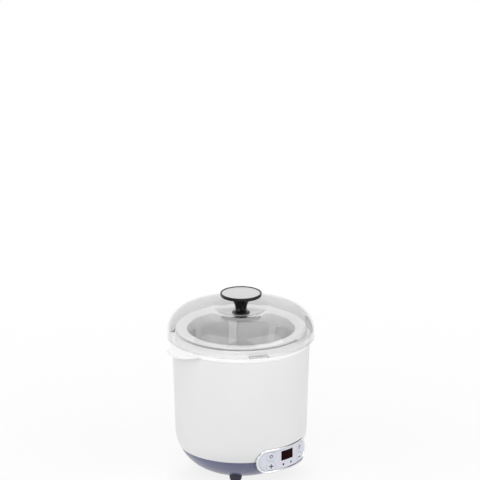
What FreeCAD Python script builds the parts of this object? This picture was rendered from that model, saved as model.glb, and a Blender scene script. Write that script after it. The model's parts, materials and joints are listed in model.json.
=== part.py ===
import FreeCAD, Part
import math
import os

import Sketcher
from FreeCAD import Placement, Rotation, Vector

# Driving sizes, in millimetres and degrees
SIZES = {
    # Inner container
    "container_height": 140.0,
    "container_radius": 66.6,
    "container_draft": 8.6,
    "container_corner": 14.0,
    "container_wall": 1.8,
    "container_lip": 5.0,
    "lip_thickness": 2.6,
    # Base, seen from outside
    "floor_height": 31.0,
    "rim_gap": 1.0,
    "rim_rise": 7.0,
    "rim_wall": 3.2,
    "container_play": 1.2,
    "ledge_width": 4.0,
    "flange_band": 6.0,
    "flange_overhang": 0.6,
    "wall_draft": 3.0,
    "shell_wall": 2.5,
    "bowl_corner": 50.0,
    "foot_stand": 3.0,
    "seam_height": 33.0,
    "seam_step": 0.4,
    "tray_lip": 4.0,
    # Liner and its two carrying lugs
    "liner_wall": 2.0,
    "liner_gap": 3.2,
    "liner_corner": 16.0,
    "lug_reach": 19.0,
    "lug_setback": 8.0,
    "lug_tip_radius": 24.0,
    "lug_root_radius": 12.0,
    "lug_drop": 1.5,
    "lug_thickness": 4.0,
    # Feet and the long screws above them
    "foot_circle": 47.0,
    "foot_angle": 52.0,
    "rear_foot_angle": 35.0,
    "foot_radius": 7.25,
    "foot_tip_radius": 4.0,
    "foot_height": 11.5,
    "foot_play": 0.15,
    "sleeve_radius": 9.5,
    "sleeve_plate": 3.5,
    "boss_radius": 4.5,
    "base_screw_radius": 1.5,
    # Basket
    "basket_depth": 100.5,
    "basket_play": 1.0,
    "basket_wall": 2.0,
    "basket_corner": 8.0,
    "basket_rim": 8.8,
    "basket_lip": 3.2,
    "basket_funnel": 5.2,
    "basket_top_band": 9.0,
    "basket_bottom_band": 9.0,
    "post_width": 10.0,
    "post_turn": -13.0,
    "hole_circle": 32.5,
    "hole_radius": 16.6,
    "tab_turn": 17.5,
    "tab_width": 18.0,
    "tab_reach": 2.6,
    "gauze_thickness": 0.5,
    # Lid and knob
    "lid_overhang": 5.0,
    "lid_wall": 2.3,
    "lid_skirt": 7.0,
    "lid_shoulder": 25.0,
    "lid_crown_radius": 38.0,
    "lid_crown_height": 35.0,
    "lid_seat_radius": 11.5,
    "lid_seat_height": 28.3,
    "knob_height": 24.7,
    "knob_radius": 24.0,
    "knob_stem_radius": 6.4,
    "knob_base_radius": 10.4,
    "knob_screw_radius": 2.0,
    # Control panel
    "panel_height": 33.5,
    "panel_half_height": 14.6,
    "panel_end_angle": 20.0,
    "panel_proud": 0.8,
    "bezel_width": 3.0,
    "bezel_depth": 9.8,
    "plate_recess": 0.9,
    "plate_thickness": 1.8,
    "button_radius": 5.35,
    "button_play": 0.3,
    "button_across": 23.0,
    "button_up": 6.0,
    "button_travel": 0.6,
    "display_width": 18.2,
    "display_height": 11.4,
    "display_up": 3.7,
    "indicator_radius": 1.15,
    "indicator_across": 6.0,
    "indicator_down": 7.0,
    "board_setback": 10.8,
    "board_thickness": 1.6,
    # Heater, power board and cord gland
    "heater_radius": 42.0,
    "heater_screw_circle": 47.0,
    "power_board_length": 60.0,
    "power_board_width": 36.0,
    "power_board_height": 10.0,
    "gland_height": 17.0,
    "gland_proud": 0.66,
    "gland_bore": 3.5,
}

doc = FreeCAD.newDocument("yogurt_maker")
sheet = doc.addObject("Spreadsheet::Sheet", "Sizes")
for row, (alias, number) in enumerate(SIZES.items(), start=1):
    sheet.set(f"A{row}", alias.replace("_", " "))
    sheet.set(f"B{row}", str(number))
    sheet.setAlias(f"B{row}", alias)
doc.recompute()


# Numbers that remember their spreadsheet formula
class Size:
    def __init__(self, value, formula):
        self.value = float(value)
        self.formula = formula

    def __add__(self, other):
        other = as_size(other)
        return Size(self.value + other.value, f"({self.formula} + {other.formula})")

    def __sub__(self, other):
        other = as_size(other)
        return Size(self.value - other.value, f"({self.formula} - {other.formula})")

    def __mul__(self, other):
        other = as_size(other)
        return Size(self.value * other.value, f"({self.formula} * {other.formula})")

    def __truediv__(self, other):
        other = as_size(other)
        return Size(self.value / other.value, f"({self.formula} / {other.formula})")

    def __radd__(self, other):
        return as_size(other) + self

    def __rsub__(self, other):
        return as_size(other) - self

    def __rmul__(self, other):
        return as_size(other) * self

    def __neg__(self):
        return as_size(0) - self


def as_size(item):
    if isinstance(item, Size):
        return item
    return Size(item, f"({float(item)})")


def of(alias):
    return Size(sheet.get(alias), f"Sizes.{alias}")


def root(size):
    return Size(math.sqrt(size.value), f"sqrt({size.formula})")


def sine(angle):
    return Size(math.sin(math.radians(angle.value)), f"sin({angle.formula} * 1 deg)")


def cosine(angle):
    return Size(math.cos(math.radians(angle.value)), f"cos({angle.formula} * 1 deg)")


# Small helpers for objects, sketches and features
def bind(item, name, size):
    item.setExpression(name, as_size(size).formula)


def new_body(label):
    body = doc.addObject("PartDesign::Body", label)
    body.Label = label
    return body


def origin_item(body, role):
    return next(item for item in body.Origin.OriginFeatures if item.Role == role)


def new_sketch(body, role, offset=None):
    sketch = body.newObject("Sketcher::SketchObject", body.Name + "_sketch")
    sketch.AttachmentSupport = [(origin_item(body, role), "")]
    sketch.MapMode = "FlatFace"
    if offset is not None:
        bind(sketch, "AttachmentOffset.Base.z", offset)
    return sketch


def fix_point(rules, geometry, end, x, y):
    for kind, axis, size in (("DistanceX", -2, x), ("DistanceY", -1, y)):
        if abs(size.value) < 1e-9:
            rules.append((Sketcher.Constraint("PointOnObject", geometry, end, axis), None))
        else:
            rule = Sketcher.Constraint(kind, -1, 1, geometry, end, size.value)
            rules.append((rule, size.formula))


def add_rules(sketch, rules):
    numbers = sketch.addConstraint([rule for rule, formula in rules])
    for number, (rule, formula) in zip(numbers, rules):
        if formula:
            sketch.setExpression(f"Constraints[{number}]", formula)


def arc_between(start, end, radius, turn):
    middle = (start + end) * 0.5
    chord = end - start
    rise = math.sqrt(max(radius ** 2 - chord.Length ** 2 / 4, 0.0))
    side = Vector(-chord.y, chord.x, 0).normalize()
    centre = middle + side * rise if turn == "left" else middle - side * rise
    angles = [math.atan2(p.y - centre.y, p.x - centre.x) for p in (start, end)]
    if turn == "right":
        angles.reverse()
    if angles[1] < angles[0]:
        angles[1] += 2 * math.pi
    circle = Part.Circle(centre, Vector(0, 0, 1), radius)
    return Part.ArcOfCircle(circle, angles[0], angles[1])


# A closed outline: (x, y) is reached by a line, (x, y, radius, turn) by an arc
def draw_outline(sketch, steps):
    points = [(as_size(step[0]), as_size(step[1])) for step in steps]
    first = sketch.GeometryCount
    pieces = []
    ends = []
    rules = []
    for number, step in enumerate(steps):
        start = Vector(points[number - 1][0].value, points[number - 1][1].value, 0)
        end = Vector(points[number][0].value, points[number][1].value, 0)
        if len(step) == 4:
            radius = as_size(step[2])
            pieces.append(arc_between(start, end, radius.value, step[3]))
            rule = Sketcher.Constraint("Radius", first + number, radius.value)
            rules.append((rule, radius.formula))
            ends.append((1, 2) if step[3] == "left" else (2, 1))
        else:
            pieces.append(Part.LineSegment(start, end))
            ends.append((1, 2))
    sketch.addGeometry(pieces, False)
    for number in range(len(steps)):
        here = first + number
        after = (number + 1) % len(steps)
        join = Sketcher.Constraint("Coincident", here, ends[number][1], first + after, ends[after][0])
        rules.insert(0, (join, None))
        fix_point(rules, here, ends[number][1], *points[number])
    add_rules(sketch, rules)


def draw_circle(sketch, x, y, radius):
    x = as_size(x)
    y = as_size(y)
    radius = as_size(radius)
    circle = Part.Circle(Vector(x.value, y.value, 0), Vector(0, 0, 1), radius.value)
    number = sketch.addGeometry(circle, False)
    rules = [(Sketcher.Constraint("Radius", number, radius.value), radius.formula)]
    fix_point(rules, number, 3, x, y)
    add_rules(sketch, rules)


def draw_rounded(sketch, half_width, half_height, radius, x=0, y=0):
    left = x - half_width
    right = x + half_width
    low = y - half_height
    high = y + half_height
    draw_outline(sketch, [
        (right - radius, low),
        (right, low + radius, radius, "left"),
        (right, high - radius),
        (right - radius, high, radius, "left"),
        (left + radius, high),
        (left, high - radius, radius, "left"),
        (left, low + radius),
        (left + radius, low, radius, "left"),
    ])


def draw_box(sketch, left, low, right, high):
    draw_outline(sketch, [(left, low), (right, low), (right, high), (left, high)])


def revolve(body, steps, kind="PartDesign::Revolution"):
    sketch = new_sketch(body, "XZ_Plane")
    draw_outline(sketch, steps)
    feature = body.newObject(kind, body.Name + "_turned")
    feature.Profile = sketch
    feature.ReferenceAxis = (sketch, ["V_Axis"])
    feature.Angle = 360
    return feature


def pad(body, sketch, length, reverse=False, both_ways=False):
    feature = body.newObject("PartDesign::Pad", body.Name + "_pad")
    feature.Profile = sketch
    feature.Reversed = reverse
    if both_ways:
        feature.SideType = "Symmetric"
    bind(feature, "Length", length)
    return feature


def pocket(body, sketch, length=None, reverse=False):
    feature = body.newObject("PartDesign::Pocket", body.Name + "_pocket")
    feature.Profile = sketch
    feature.Reversed = reverse
    if length is None:
        feature.Type = "ThroughAll"
    else:
        bind(feature, "Length", length)
    return feature


def polar(body, feature, count):
    pattern = body.newObject("PartDesign::PolarPattern", body.Name + "_pattern")
    pattern.Originals = [feature]
    pattern.Axis = (origin_item(body, "Z_Axis"), [""])
    pattern.Angle = 360
    pattern.Occurrences = count
    body.Tip = pattern
    return pattern


def cylinder(name, radius, height, x=0, y=0, z=0, turn=None):
    item = doc.addObject("Part::Cylinder", name)
    if turn is not None:
        item.Placement = Placement(Vector(0, 0, 0), turn)
    bind(item, "Radius", radius)
    bind(item, "Height", height)
    place(item, x, y, z)
    return item


def block(name, length, width, height, x=0, y=0, z=0):
    item = doc.addObject("Part::Box", name)
    bind(item, "Length", length)
    bind(item, "Width", width)
    bind(item, "Height", height)
    place(item, x - length / 2, y - width / 2, z)
    return item


def place(item, x, y, z):
    bind(item, "Placement.Base.x", x)
    bind(item, "Placement.Base.y", y)
    bind(item, "Placement.Base.z", z)


def joined(name, base, tool, kind):
    item = doc.addObject(kind, name)
    item.Base = base
    item.Tool = tool
    return item


def group(label, items):
    item = doc.addObject("Part::Compound", label)
    item.Links = items
    item.Label = label
    return item


def screw(name, head_radius, head_height, shank_radius, shank_length, x, y, z, up=True):
    turn = Rotation() if up else Rotation(Vector(1, 0, 0), 180)
    sign = 1 if up else -1
    head = cylinder(name + "_head", head_radius, head_height, x, y, z - sign * head_height, turn)
    shank = cylinder(name + "_shank", shank_radius, shank_length, x, y, z, turn)
    return joined(name, head, shank, "Part::Fuse")


nodes = []


def keep(item):
    nodes.append(item)
    return item


# Levels and radii that follow from the driving sizes
floor_top = of("floor_height")
floor_under = floor_top - of("liner_wall")
container_top = floor_top + of("container_height")
rim_top = container_top - of("rim_gap")
ledge = rim_top - of("rim_rise")
shell_top = ledge - of("flange_band")
container_rim = of("container_radius") + of("container_lip")
container_low = of("container_radius") - of("container_draft")
rim_inner = container_rim + of("container_play")
rim_outer = rim_inner + of("rim_wall")
flange_radius = rim_outer + of("ledge_width")
wall_top = flange_radius - of("flange_overhang")
wall_low = wall_top - of("wall_draft")
corner_radius = wall_low - of("bowl_corner")
corner_height = of("foot_stand") + of("bowl_corner")
seam = of("seam_height")


def bowl_radius_at(arc, height):
    drop = corner_height - height
    return corner_radius + root(arc * arc - drop * drop)


# Control panel: an upright cylinder face with full-round ends
panel_face = bowl_radius_at(of("bowl_corner"), of("panel_height") + of("panel_half_height"))
panel_face = panel_face + of("panel_proud")
plate_face = panel_face - of("plate_recess")
plate_back = plate_face - of("plate_thickness")
board_front = panel_face - of("board_setback")
board_back = board_front - of("board_thickness")
switch_height = 2.4
switch_front = board_front + switch_height
half_height = of("panel_half_height")
opening_height = half_height - of("bezel_width")


def stand_in_panel(item):
    bind(item, "Placement.Base.z", of("panel_height"))
    return item


# A band with round ends, wrapped on the panel's cylinder, added or cut away
def wrapped_band(body, inner, outer, half, level=0, cut=False):
    middle = new_sketch(body, "YZ_Plane")
    draw_box(middle, -outer, level - half, -inner, level + half)
    kind = "PartDesign::Groove" if cut else "PartDesign::Revolution"
    feature = body.newObject(kind, body.Name + "_band")
    feature.Profile = middle
    feature.ReferenceAxis = (middle, ["V_Axis"])
    feature.Midplane = True
    bind(feature, "Angle", 2 * of("panel_end_angle"))
    for side in (-1, 1):
        end = new_sketch(body, "XZ_Plane")
        turn = Rotation(Vector(0, 1, 0), side * SIZES["panel_end_angle"])
        end.AttachmentOffset = Placement(Vector(0, 0, 0), turn)
        bind(end, "AttachmentOffset.Rotation.Angle", side * of("panel_end_angle"))
        bind(end, "AttachmentOffset.Base.x", inner * sine(side * of("panel_end_angle")))
        bind(end, "AttachmentOffset.Base.z", inner * cosine(of("panel_end_angle")))
        draw_circle(end, 0, level, half)
        if cut:
            pocket(body, end, outer - inner, reverse=True)
        else:
            pad(body, end, outer - inner)


def turned_cut(body, inner, outer, low, high):
    steps = [(inner, low), (outer, low), (outer, high), (inner, high)]
    return revolve(body, steps, "PartDesign::Groove")


def cut_panel_opening(body):
    play = 0.3
    depth = 22
    wrapped_band(body, panel_face - depth, panel_face + 6, half_height + play, of("panel_height"), cut=True)


foot_x = of("foot_circle") * sine(of("foot_angle"))
foot_y = of("foot_circle") * cosine(of("foot_angle"))
rear_foot_x = of("foot_circle") * sine(of("rear_foot_angle"))
rear_foot_y = of("foot_circle") * cosine(of("rear_foot_angle"))
FOOT_CORNERS = {
    "front_left": (-foot_x, -foot_y),
    "front_right": (foot_x, -foot_y),
    "rear_left": (-rear_foot_x, rear_foot_y),
    "rear_right": (rear_foot_x, rear_foot_y),
}
foot_top = of("foot_height")
sleeve_top = foot_top + of("sleeve_plate")

# Outer shell, the white outside wall of the base
shell = keep(new_body("outer_shell"))
shell_arc = of("bowl_corner")
shell_inner_arc = shell_arc - of("shell_wall")
shell_seam_inner = bowl_radius_at(shell_inner_arc, seam)
revolve(shell, [
    (shell_seam_inner, seam, shell_inner_arc, "right"),
    (bowl_radius_at(shell_arc, seam), seam),
    (wall_low, corner_height, shell_arc, "left"),
    (wall_top, shell_top),
    (wall_top - of("shell_wall"), shell_top),
    (wall_low - of("shell_wall"), corner_height),
])
cut_panel_opening(shell)

# Base tray, the coloured bowl that closes the base from below
tray = keep(new_body("base_tray"))
tray_arc = of("bowl_corner") - of("seam_step")
tray_inner_arc = tray_arc - of("shell_wall")
tray_under = corner_height - tray_arc
tray_floor = corner_height - tray_inner_arc
tray_lip_outer = shell_seam_inner - 0.3
tray_lip_inner = tray_lip_outer - 2.0
tray_lip_side = tray_lip_inner - corner_radius
tray_lip_foot = corner_height - root(tray_inner_arc * tray_inner_arc - tray_lip_side * tray_lip_side)
revolve(tray, [
    (0, tray_under),
    (corner_radius, tray_under),
    (bowl_radius_at(tray_arc, seam), seam, tray_arc, "left"),
    (tray_lip_outer, seam),
    (tray_lip_outer, seam + of("tray_lip")),
    (tray_lip_inner, seam + of("tray_lip")),
    (tray_lip_inner, tray_lip_foot),
    (corner_radius, tray_floor, tray_inner_arc, "right"),
    (0, tray_floor),
])

# Screw sleeves over the feet, trimmed to the outside of the bowl
sleeves = new_sketch(tray, "XY_Plane", sleeve_top)
for x, y in FOOT_CORNERS.values():
    draw_circle(sleeves, x, y, of("sleeve_radius"))
pad(tray, sleeves, sleeve_top - 1.0, reverse=True)
below = flange_radius + 10
revolve(tray, [
    (0, -5),
    (below, -5),
    (below, seam - 0.5),
    (bowl_radius_at(tray_arc, seam - 0.5), seam - 0.5),
    (corner_radius, tray_under, tray_arc, "right"),
    (0, tray_under),
], "PartDesign::Groove")
sockets = new_sketch(tray, "XY_Plane", foot_top)
for x, y in FOOT_CORNERS.values():
    draw_circle(sockets, x, y, of("foot_radius") + of("foot_play"))
pocket(tray, sockets)
screw_ways = new_sketch(tray, "XY_Plane", sleeve_top)
for x, y in FOOT_CORNERS.values():
    draw_circle(screw_ways, x, y, of("base_screw_radius") + 0.2)
pocket(tray, screw_ways)

# Stand-offs for the power board
board_x = of("power_board_length") / 2 - 4
board_y = of("power_board_width") / 2 - 4
board_top = of("power_board_height") + of("board_thickness")
BOARD_CORNERS = [(-board_x, -board_y), (board_x, -board_y), (-board_x, board_y), (board_x, board_y)]
standoffs = new_sketch(tray, "XY_Plane", of("power_board_height"))
for x, y in BOARD_CORNERS:
    draw_circle(standoffs, x, y, 3)
pad(tray, standoffs, of("power_board_height") - tray_floor + 1.0, reverse=True)
standoff_holes = new_sketch(tray, "XY_Plane", of("power_board_height"))
for x, y in BOARD_CORNERS:
    draw_circle(standoff_holes, x, y, 1)
pocket(tray, standoff_holes, of("power_board_height") - tray_floor + 0.6)

# Boss and bore for the cord gland at the rear
gland_boss_radius = of("gland_bore") + 4.5
gland_ring_radius = of("gland_bore") + 3.6
gland_ring_room = 3.4
gland_reach = bowl_radius_at(tray_arc, of("gland_height") + gland_boss_radius) + of("gland_proud")
gland_inner = bowl_radius_at(tray_inner_arc, of("gland_height") - gland_ring_radius) - gland_ring_room
gland_boss = new_sketch(tray, "XZ_Plane", -gland_reach)
draw_circle(gland_boss, 0, of("gland_height"), gland_boss_radius)
pad(tray, gland_boss, gland_reach - gland_inner)
gland_way = new_sketch(tray, "XZ_Plane", -gland_reach)
draw_circle(gland_way, 0, of("gland_height"), of("gland_bore") + 1.6)
pocket(tray, gland_way, gland_reach - gland_inner + 6, reverse=True)
cut_panel_opening(tray)

# Liner: the well that takes the container, with raised rim, flange and lugs
liner = keep(new_body("liner"))
liner.AllowCompound = True
liner_low = container_low + of("liner_gap")
liner_high = of("container_radius") + of("liner_gap")
liner_bend = floor_top + of("liner_corner")
spigot = wall_top - of("shell_wall") - 0.4
rim_round = of("rim_wall") * 0.4
rim_middle = (rim_inner + rim_outer) / 2
flange_round = of("ledge_width") * 0.4

# Lug outline: a round tip blended into the flange circle
lug_base = flange_radius - 0.4
lug_tip = of("lug_tip_radius")
lug_root = of("lug_root_radius")
tip_centre = flange_radius + of("lug_reach") - lug_tip
root_reach = lug_base + lug_root
blend = tip_centre * tip_centre + root_reach * root_reach - (lug_tip + lug_root) * (lug_tip + lug_root)
root_x = blend / (2 * tip_centre)
root_y = root(root_reach * root_reach - root_x * root_x)
base_share = lug_base / root_reach
tip_share = lug_tip / (lug_tip + lug_root)
inner_share = rim_middle / root_reach
tip_x = tip_centre + (root_x - tip_centre) * tip_share
tip_y = root_y * tip_share
for side in (1, -1):
    lug_sketch = new_sketch(liner, "XY_Plane")
    lug_turn = side * of("lug_setback")
    lug_sketch.AttachmentOffset = Placement(Vector(0, 0, 0), Rotation(Vector(0, 0, 1), lug_turn.value))
    bind(lug_sketch, "AttachmentOffset.Rotation.Angle", lug_turn)
    bind(lug_sketch, "AttachmentOffset.Base.z", ledge - of("lug_drop"))
    draw_outline(lug_sketch, [
        (side * root_x * inner_share, -side * root_y * inner_share, rim_middle, "right"),
        (side * root_x * base_share, -side * root_y * base_share),
        (side * tip_x, -side * tip_y, lug_root, "right"),
        (side * tip_x, side * tip_y, lug_tip, "left"),
        (side * root_x * base_share, side * root_y * base_share, lug_root, "right"),
        (side * root_x * inner_share, side * root_y * inner_share),
    ])
    lugs = pad(liner, lug_sketch, of("lug_thickness"), reverse=True)
doc.recompute()


# Round the lugs' outer edges
def lug_edges(shape):
    names = []
    for number, edge in enumerate(shape.Edges, start=1):
        middle = edge.valueAt((edge.FirstParameter + edge.LastParameter) / 2)
        flat = edge.BoundBox.ZLength < 0.01
        if flat and math.hypot(middle.x, middle.y) > flange_radius.value + 0.5:
            names.append(f"Edge{number}")
    return names


lug_round = liner.newObject("PartDesign::Fillet", "lug_round")
lug_round.Base = (lugs, lug_edges(lugs.Shape))
bind(lug_round, "Radius", of("lug_thickness") * 0.35)
revolve(liner, [
    (0, floor_under),
    (liner_low - of("liner_corner"), floor_under),
    (liner_low + of("liner_wall"), liner_bend, of("liner_corner") + of("liner_wall"), "left"),
    (liner_high + of("liner_wall"), shell_top - 4),
    (spigot, shell_top - 4),
    (spigot, shell_top),
    (flange_radius, shell_top),
    (flange_radius, ledge - flange_round),
    (flange_radius - flange_round, ledge, flange_round, "left"),
    (rim_outer, ledge),
    (rim_outer, rim_top - rim_round),
    (rim_outer - rim_round, rim_top, rim_round, "left"),
    (rim_inner + rim_round, rim_top),
    (rim_inner, rim_top - rim_round, rim_round, "left"),
    (rim_inner, ledge - 2),
    (liner_high, ledge - 5),
    (liner_low, liner_bend),
    (liner_low - of("liner_corner"), floor_top, of("liner_corner"), "right"),
    (0, floor_top),
])

# Bosses under the liner for the base screws and the heater strap
bosses = new_sketch(liner, "XY_Plane", sleeve_top)
for x, y in FOOT_CORNERS.values():
    draw_circle(bosses, x, y, of("boss_radius"))
pad(liner, bosses, floor_top - 0.5 - sleeve_top)
boss_holes = new_sketch(liner, "XY_Plane", sleeve_top)
for x, y in FOOT_CORNERS.values():
    draw_circle(boss_holes, x, y, of("base_screw_radius") + 0.05)
base_screw_length = floor_under - 2.5 - foot_top
pocket(liner, boss_holes, base_screw_length - of("sleeve_plate") + 0.5, reverse=True)
strap_top = floor_under - 3.0
strap_screw = of("heater_screw_circle")
strap_bosses = new_sketch(liner, "XY_Plane", strap_top)
for x in (-strap_screw, strap_screw):
    draw_circle(strap_bosses, x, 0, 3.5)
pad(liner, strap_bosses, floor_top - 0.5 - strap_top)
strap_holes = new_sketch(liner, "XY_Plane", strap_top)
for x in (-strap_screw, strap_screw):
    draw_circle(strap_holes, x, 0, 1.3)
pocket(liner, strap_holes, 3.6, reverse=True)

# Rubber feet, pushed into the tray's sockets
for corner, (x, y) in FOOT_CORNERS.items():
    foot = keep(new_body("foot_" + corner))
    screw_room = 3.9
    revolve(foot, [
        (0, 0),
        (of("foot_tip_radius"), 0),
        (of("foot_radius"), foot_top - 3.6, 11.0, "left"),
        (of("foot_radius"), foot_top),
        (screw_room, foot_top),
        (screw_room, foot_top - 3.1),
        (0, foot_top - 3.1),
    ])
    place(foot, x, y, 0)

# Long screws that hold tray and liner together
keep(group("base_screws", [
    screw("base_screw_" + corner, 3.0, 2.1, of("base_screw_radius"), base_screw_length, x, y, foot_top)
    for corner, (x, y) in FOOT_CORNERS.items()
]))

# Inner container
container = keep(new_body("inner_container"))
container_wall = of("container_wall")
container_bend = floor_top + of("container_corner")
container_inner = of("container_radius") - container_wall
lip_round = of("lip_thickness") * 0.45
revolve(container, [
    (0, floor_top),
    (container_low - of("container_corner"), floor_top),
    (container_low, container_bend, of("container_corner"), "left"),
    (of("container_radius"), container_top - of("lip_thickness")),
    (container_rim - lip_round, container_top - of("lip_thickness")),
    (container_rim, container_top - of("lip_thickness") + lip_round, lip_round, "left"),
    (container_rim, container_top - lip_round),
    (container_rim - lip_round, container_top, lip_round, "left"),
    (container_inner + lip_round, container_top),
    (container_inner, container_top - lip_round, lip_round, "left"),
    (container_low - container_wall, container_bend),
    (
        container_low - of("container_corner"),
        floor_top + container_wall,
        of("container_corner") - container_wall,
        "right",
    ),
    (0, floor_top + container_wall),
])

# Basket frame: rim, posts and floor
basket = keep(new_body("basket_frame"))
basket_wall = of("basket_wall")
basket_high = container_inner - of("basket_play")
basket_share = of("basket_depth") / of("container_height")
basket_low = basket_high - of("container_draft") * basket_share
basket_under = container_top - of("basket_depth")
basket_floor = basket_under + basket_wall
basket_top = container_top + of("basket_lip")
basket_outer = container_inner + of("basket_rim") + 1.8
basket_bend = basket_under + of("basket_corner")
basket_round = of("basket_lip") * 0.42
revolve(basket, [
    (0, basket_under),
    (basket_low - of("basket_corner"), basket_under),
    (basket_low, basket_bend, of("basket_corner"), "left"),
    (basket_high, container_top - 1.5),
    (basket_high, container_top),
    (basket_outer - basket_round, container_top),
    (basket_outer, container_top + basket_round, basket_round, "left"),
    (basket_outer, basket_top - basket_round),
    (basket_outer - basket_round, basket_top, basket_round, "left"),
    (basket_high + of("basket_funnel"), basket_top),
    (basket_high - basket_wall + 0.2, container_top + of("basket_lip") * 0.45),
    (basket_high - basket_wall, container_top - 3),
    (basket_low - basket_wall, basket_bend),
    (basket_low - of("basket_corner"), basket_floor, of("basket_corner") - basket_wall, "right"),
    (0, basket_floor),
])

# Windows between the posts
post_count = 8
half_step = as_size(180.0 / post_count)
window_low = basket_under + of("basket_bottom_band")
window_high = container_top - of("basket_top_band")
window_round = 2.5
window_half_low = basket_low * sine(half_step) - of("post_width") / 2
window_half_high = basket_high * sine(half_step) - of("post_width") / 2


def draw_window(body, play):
    sketch = new_sketch(body, "XZ_Plane")
    turn = Rotation(Vector(0, 1, 0), SIZES["post_turn"])
    sketch.AttachmentOffset = Placement(Vector(0, 0, 0), turn)
    bind(sketch, "AttachmentOffset.Rotation.Angle", of("post_turn"))
    half_low = window_half_low - play
    half_high = window_half_high - play
    low = window_low + play
    high = window_high - play
    draw_outline(sketch, [
        (half_low - window_round, low),
        (half_low, low + window_round, window_round, "left"),
        (half_high, high - window_round),
        (half_high - window_round, high, window_round, "left"),
        (window_round - half_high, high),
        (-half_high, high - window_round, window_round, "left"),
        (-half_low, low + window_round),
        (window_round - half_low, low, window_round, "left"),
    ])
    return sketch


window = pocket(basket, draw_window(basket, 0), reverse=True)
polar(basket, window, post_count)

# Round openings in the basket floor, with a spoke below every second post
hole_sketch = new_sketch(basket, "XY_Plane", basket_floor)
hole_circle = of("hole_circle")
quarter_turn = 90
first_hole = of("post_turn") + half_step - quarter_turn / 2
for quarter in range(4):
    turn = first_hole + quarter_turn * quarter
    draw_circle(hole_sketch, hole_circle * cosine(turn), hole_circle * sine(turn), of("hole_radius"))
pocket(basket, hole_sketch, basket_wall + 1)

# Finger tab on the basket rim
tab_sketch = new_sketch(basket, "XY_Plane", container_top)
tab_sketch.AttachmentOffset = Placement(Vector(0, 0, 0), Rotation(Vector(0, 0, 1), SIZES["tab_turn"]))
bind(tab_sketch, "AttachmentOffset.Rotation.Angle", of("tab_turn"))
bind(tab_sketch, "AttachmentOffset.Base.z", container_top + 0.4)
tab_half = of("tab_width") / 2
tab_root = basket_outer - 3
tab_end = basket_outer + of("tab_reach")
tab_round = of("tab_reach") * 0.9
draw_outline(tab_sketch, [
    (-tab_half, -tab_root),
    (-tab_half, tab_round - tab_end),
    (tab_round - tab_half, -tab_end, tab_round, "left"),
    (tab_half - tab_round, -tab_end),
    (tab_half, tab_round - tab_end, tab_round, "left"),
    (tab_half, -tab_root),
])
pad(basket, tab_sketch, of("basket_lip") - 0.8)

# Gauze: side panels that fill the windows, and a ring over the floor openings
gauze_play = 0.08
gauze_mid_low = basket_low - basket_wall / 2
gauze_mid_high = basket_high - basket_wall / 2
gauze_slope = (gauze_mid_high - gauze_mid_low) / (container_top - basket_bend)
gauze_half = of("gauze_thickness") / 2
gauze_sleeve = new_body("gauze_sleeve")
sleeve_low = window_low - 1
sleeve_high = window_high + 1
gauze_low_radius = gauze_mid_low + gauze_slope * (sleeve_low - basket_bend)
gauze_high_radius = gauze_mid_low + gauze_slope * (sleeve_high - basket_bend)
revolve(gauze_sleeve, [
    (gauze_low_radius - gauze_half, sleeve_low),
    (gauze_low_radius + gauze_half, sleeve_low),
    (gauze_high_radius + gauze_half, sleeve_high),
    (gauze_high_radius - gauze_half, sleeve_high),
])
gauze_prisms = new_body("gauze_prisms")
gauze_prism = pad(gauze_prisms, draw_window(gauze_prisms, gauze_play), basket_outer)
polar(gauze_prisms, gauze_prism, post_count)
gauze_panels = joined("gauze_panels", gauze_sleeve, gauze_prisms, "Part::Common")
gauze_panels.Label = "basket_gauze_side"
keep(gauze_panels)
gauze_floor = keep(new_body("basket_gauze_floor"))
gauze_inner = hole_circle - of("hole_radius") - 3
gauze_outer = basket_low - of("basket_corner")
gauze_top = basket_floor + of("gauze_thickness")
revolve(gauze_floor, [
    (gauze_inner, basket_floor),
    (gauze_outer, basket_floor),
    (gauze_outer, gauze_top),
    (gauze_inner, gauze_top),
])

# Lid dome: skirt, shoulder, crown and a dished seat for the knob
lid = keep(new_body("lid_dome"))
lid_radius = flange_radius + of("lid_overhang")
lid_wall = of("lid_wall")
shoulder = of("lid_shoulder")
crown_radius = of("lid_crown_radius")
seat_radius = of("lid_seat_radius")
shoulder_side = lid_radius - shoulder - crown_radius
crown_rise = of("lid_crown_height") - of("lid_skirt")
crown_arc = (shoulder_side * shoulder_side + crown_rise * crown_rise - shoulder * shoulder)
crown_arc = crown_arc / (2 * (crown_rise - shoulder))
lean_x = shoulder_side / (crown_arc - shoulder)
lean_z = (crown_arc - crown_rise) / (crown_arc - shoulder)
skirt_top = ledge + of("lid_skirt")
crown_top = ledge + of("lid_crown_height")
seat_top = ledge + of("lid_seat_height")
crown_centre = crown_top - crown_arc
dish_depth = of("lid_crown_height") - of("lid_seat_height")
dish_side = crown_radius - seat_radius
dish_span = (dish_side * dish_side + dish_depth * dish_depth) / (2 * dish_depth)
dish_arc = dish_span / 2
dish_centre = seat_top + dish_arc
dish_x = dish_side / dish_span
dish_z = (dish_depth - dish_span) / dish_span
crown_inner = crown_arc - lid_wall
screw_way = of("knob_screw_radius") + 0.3
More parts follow.
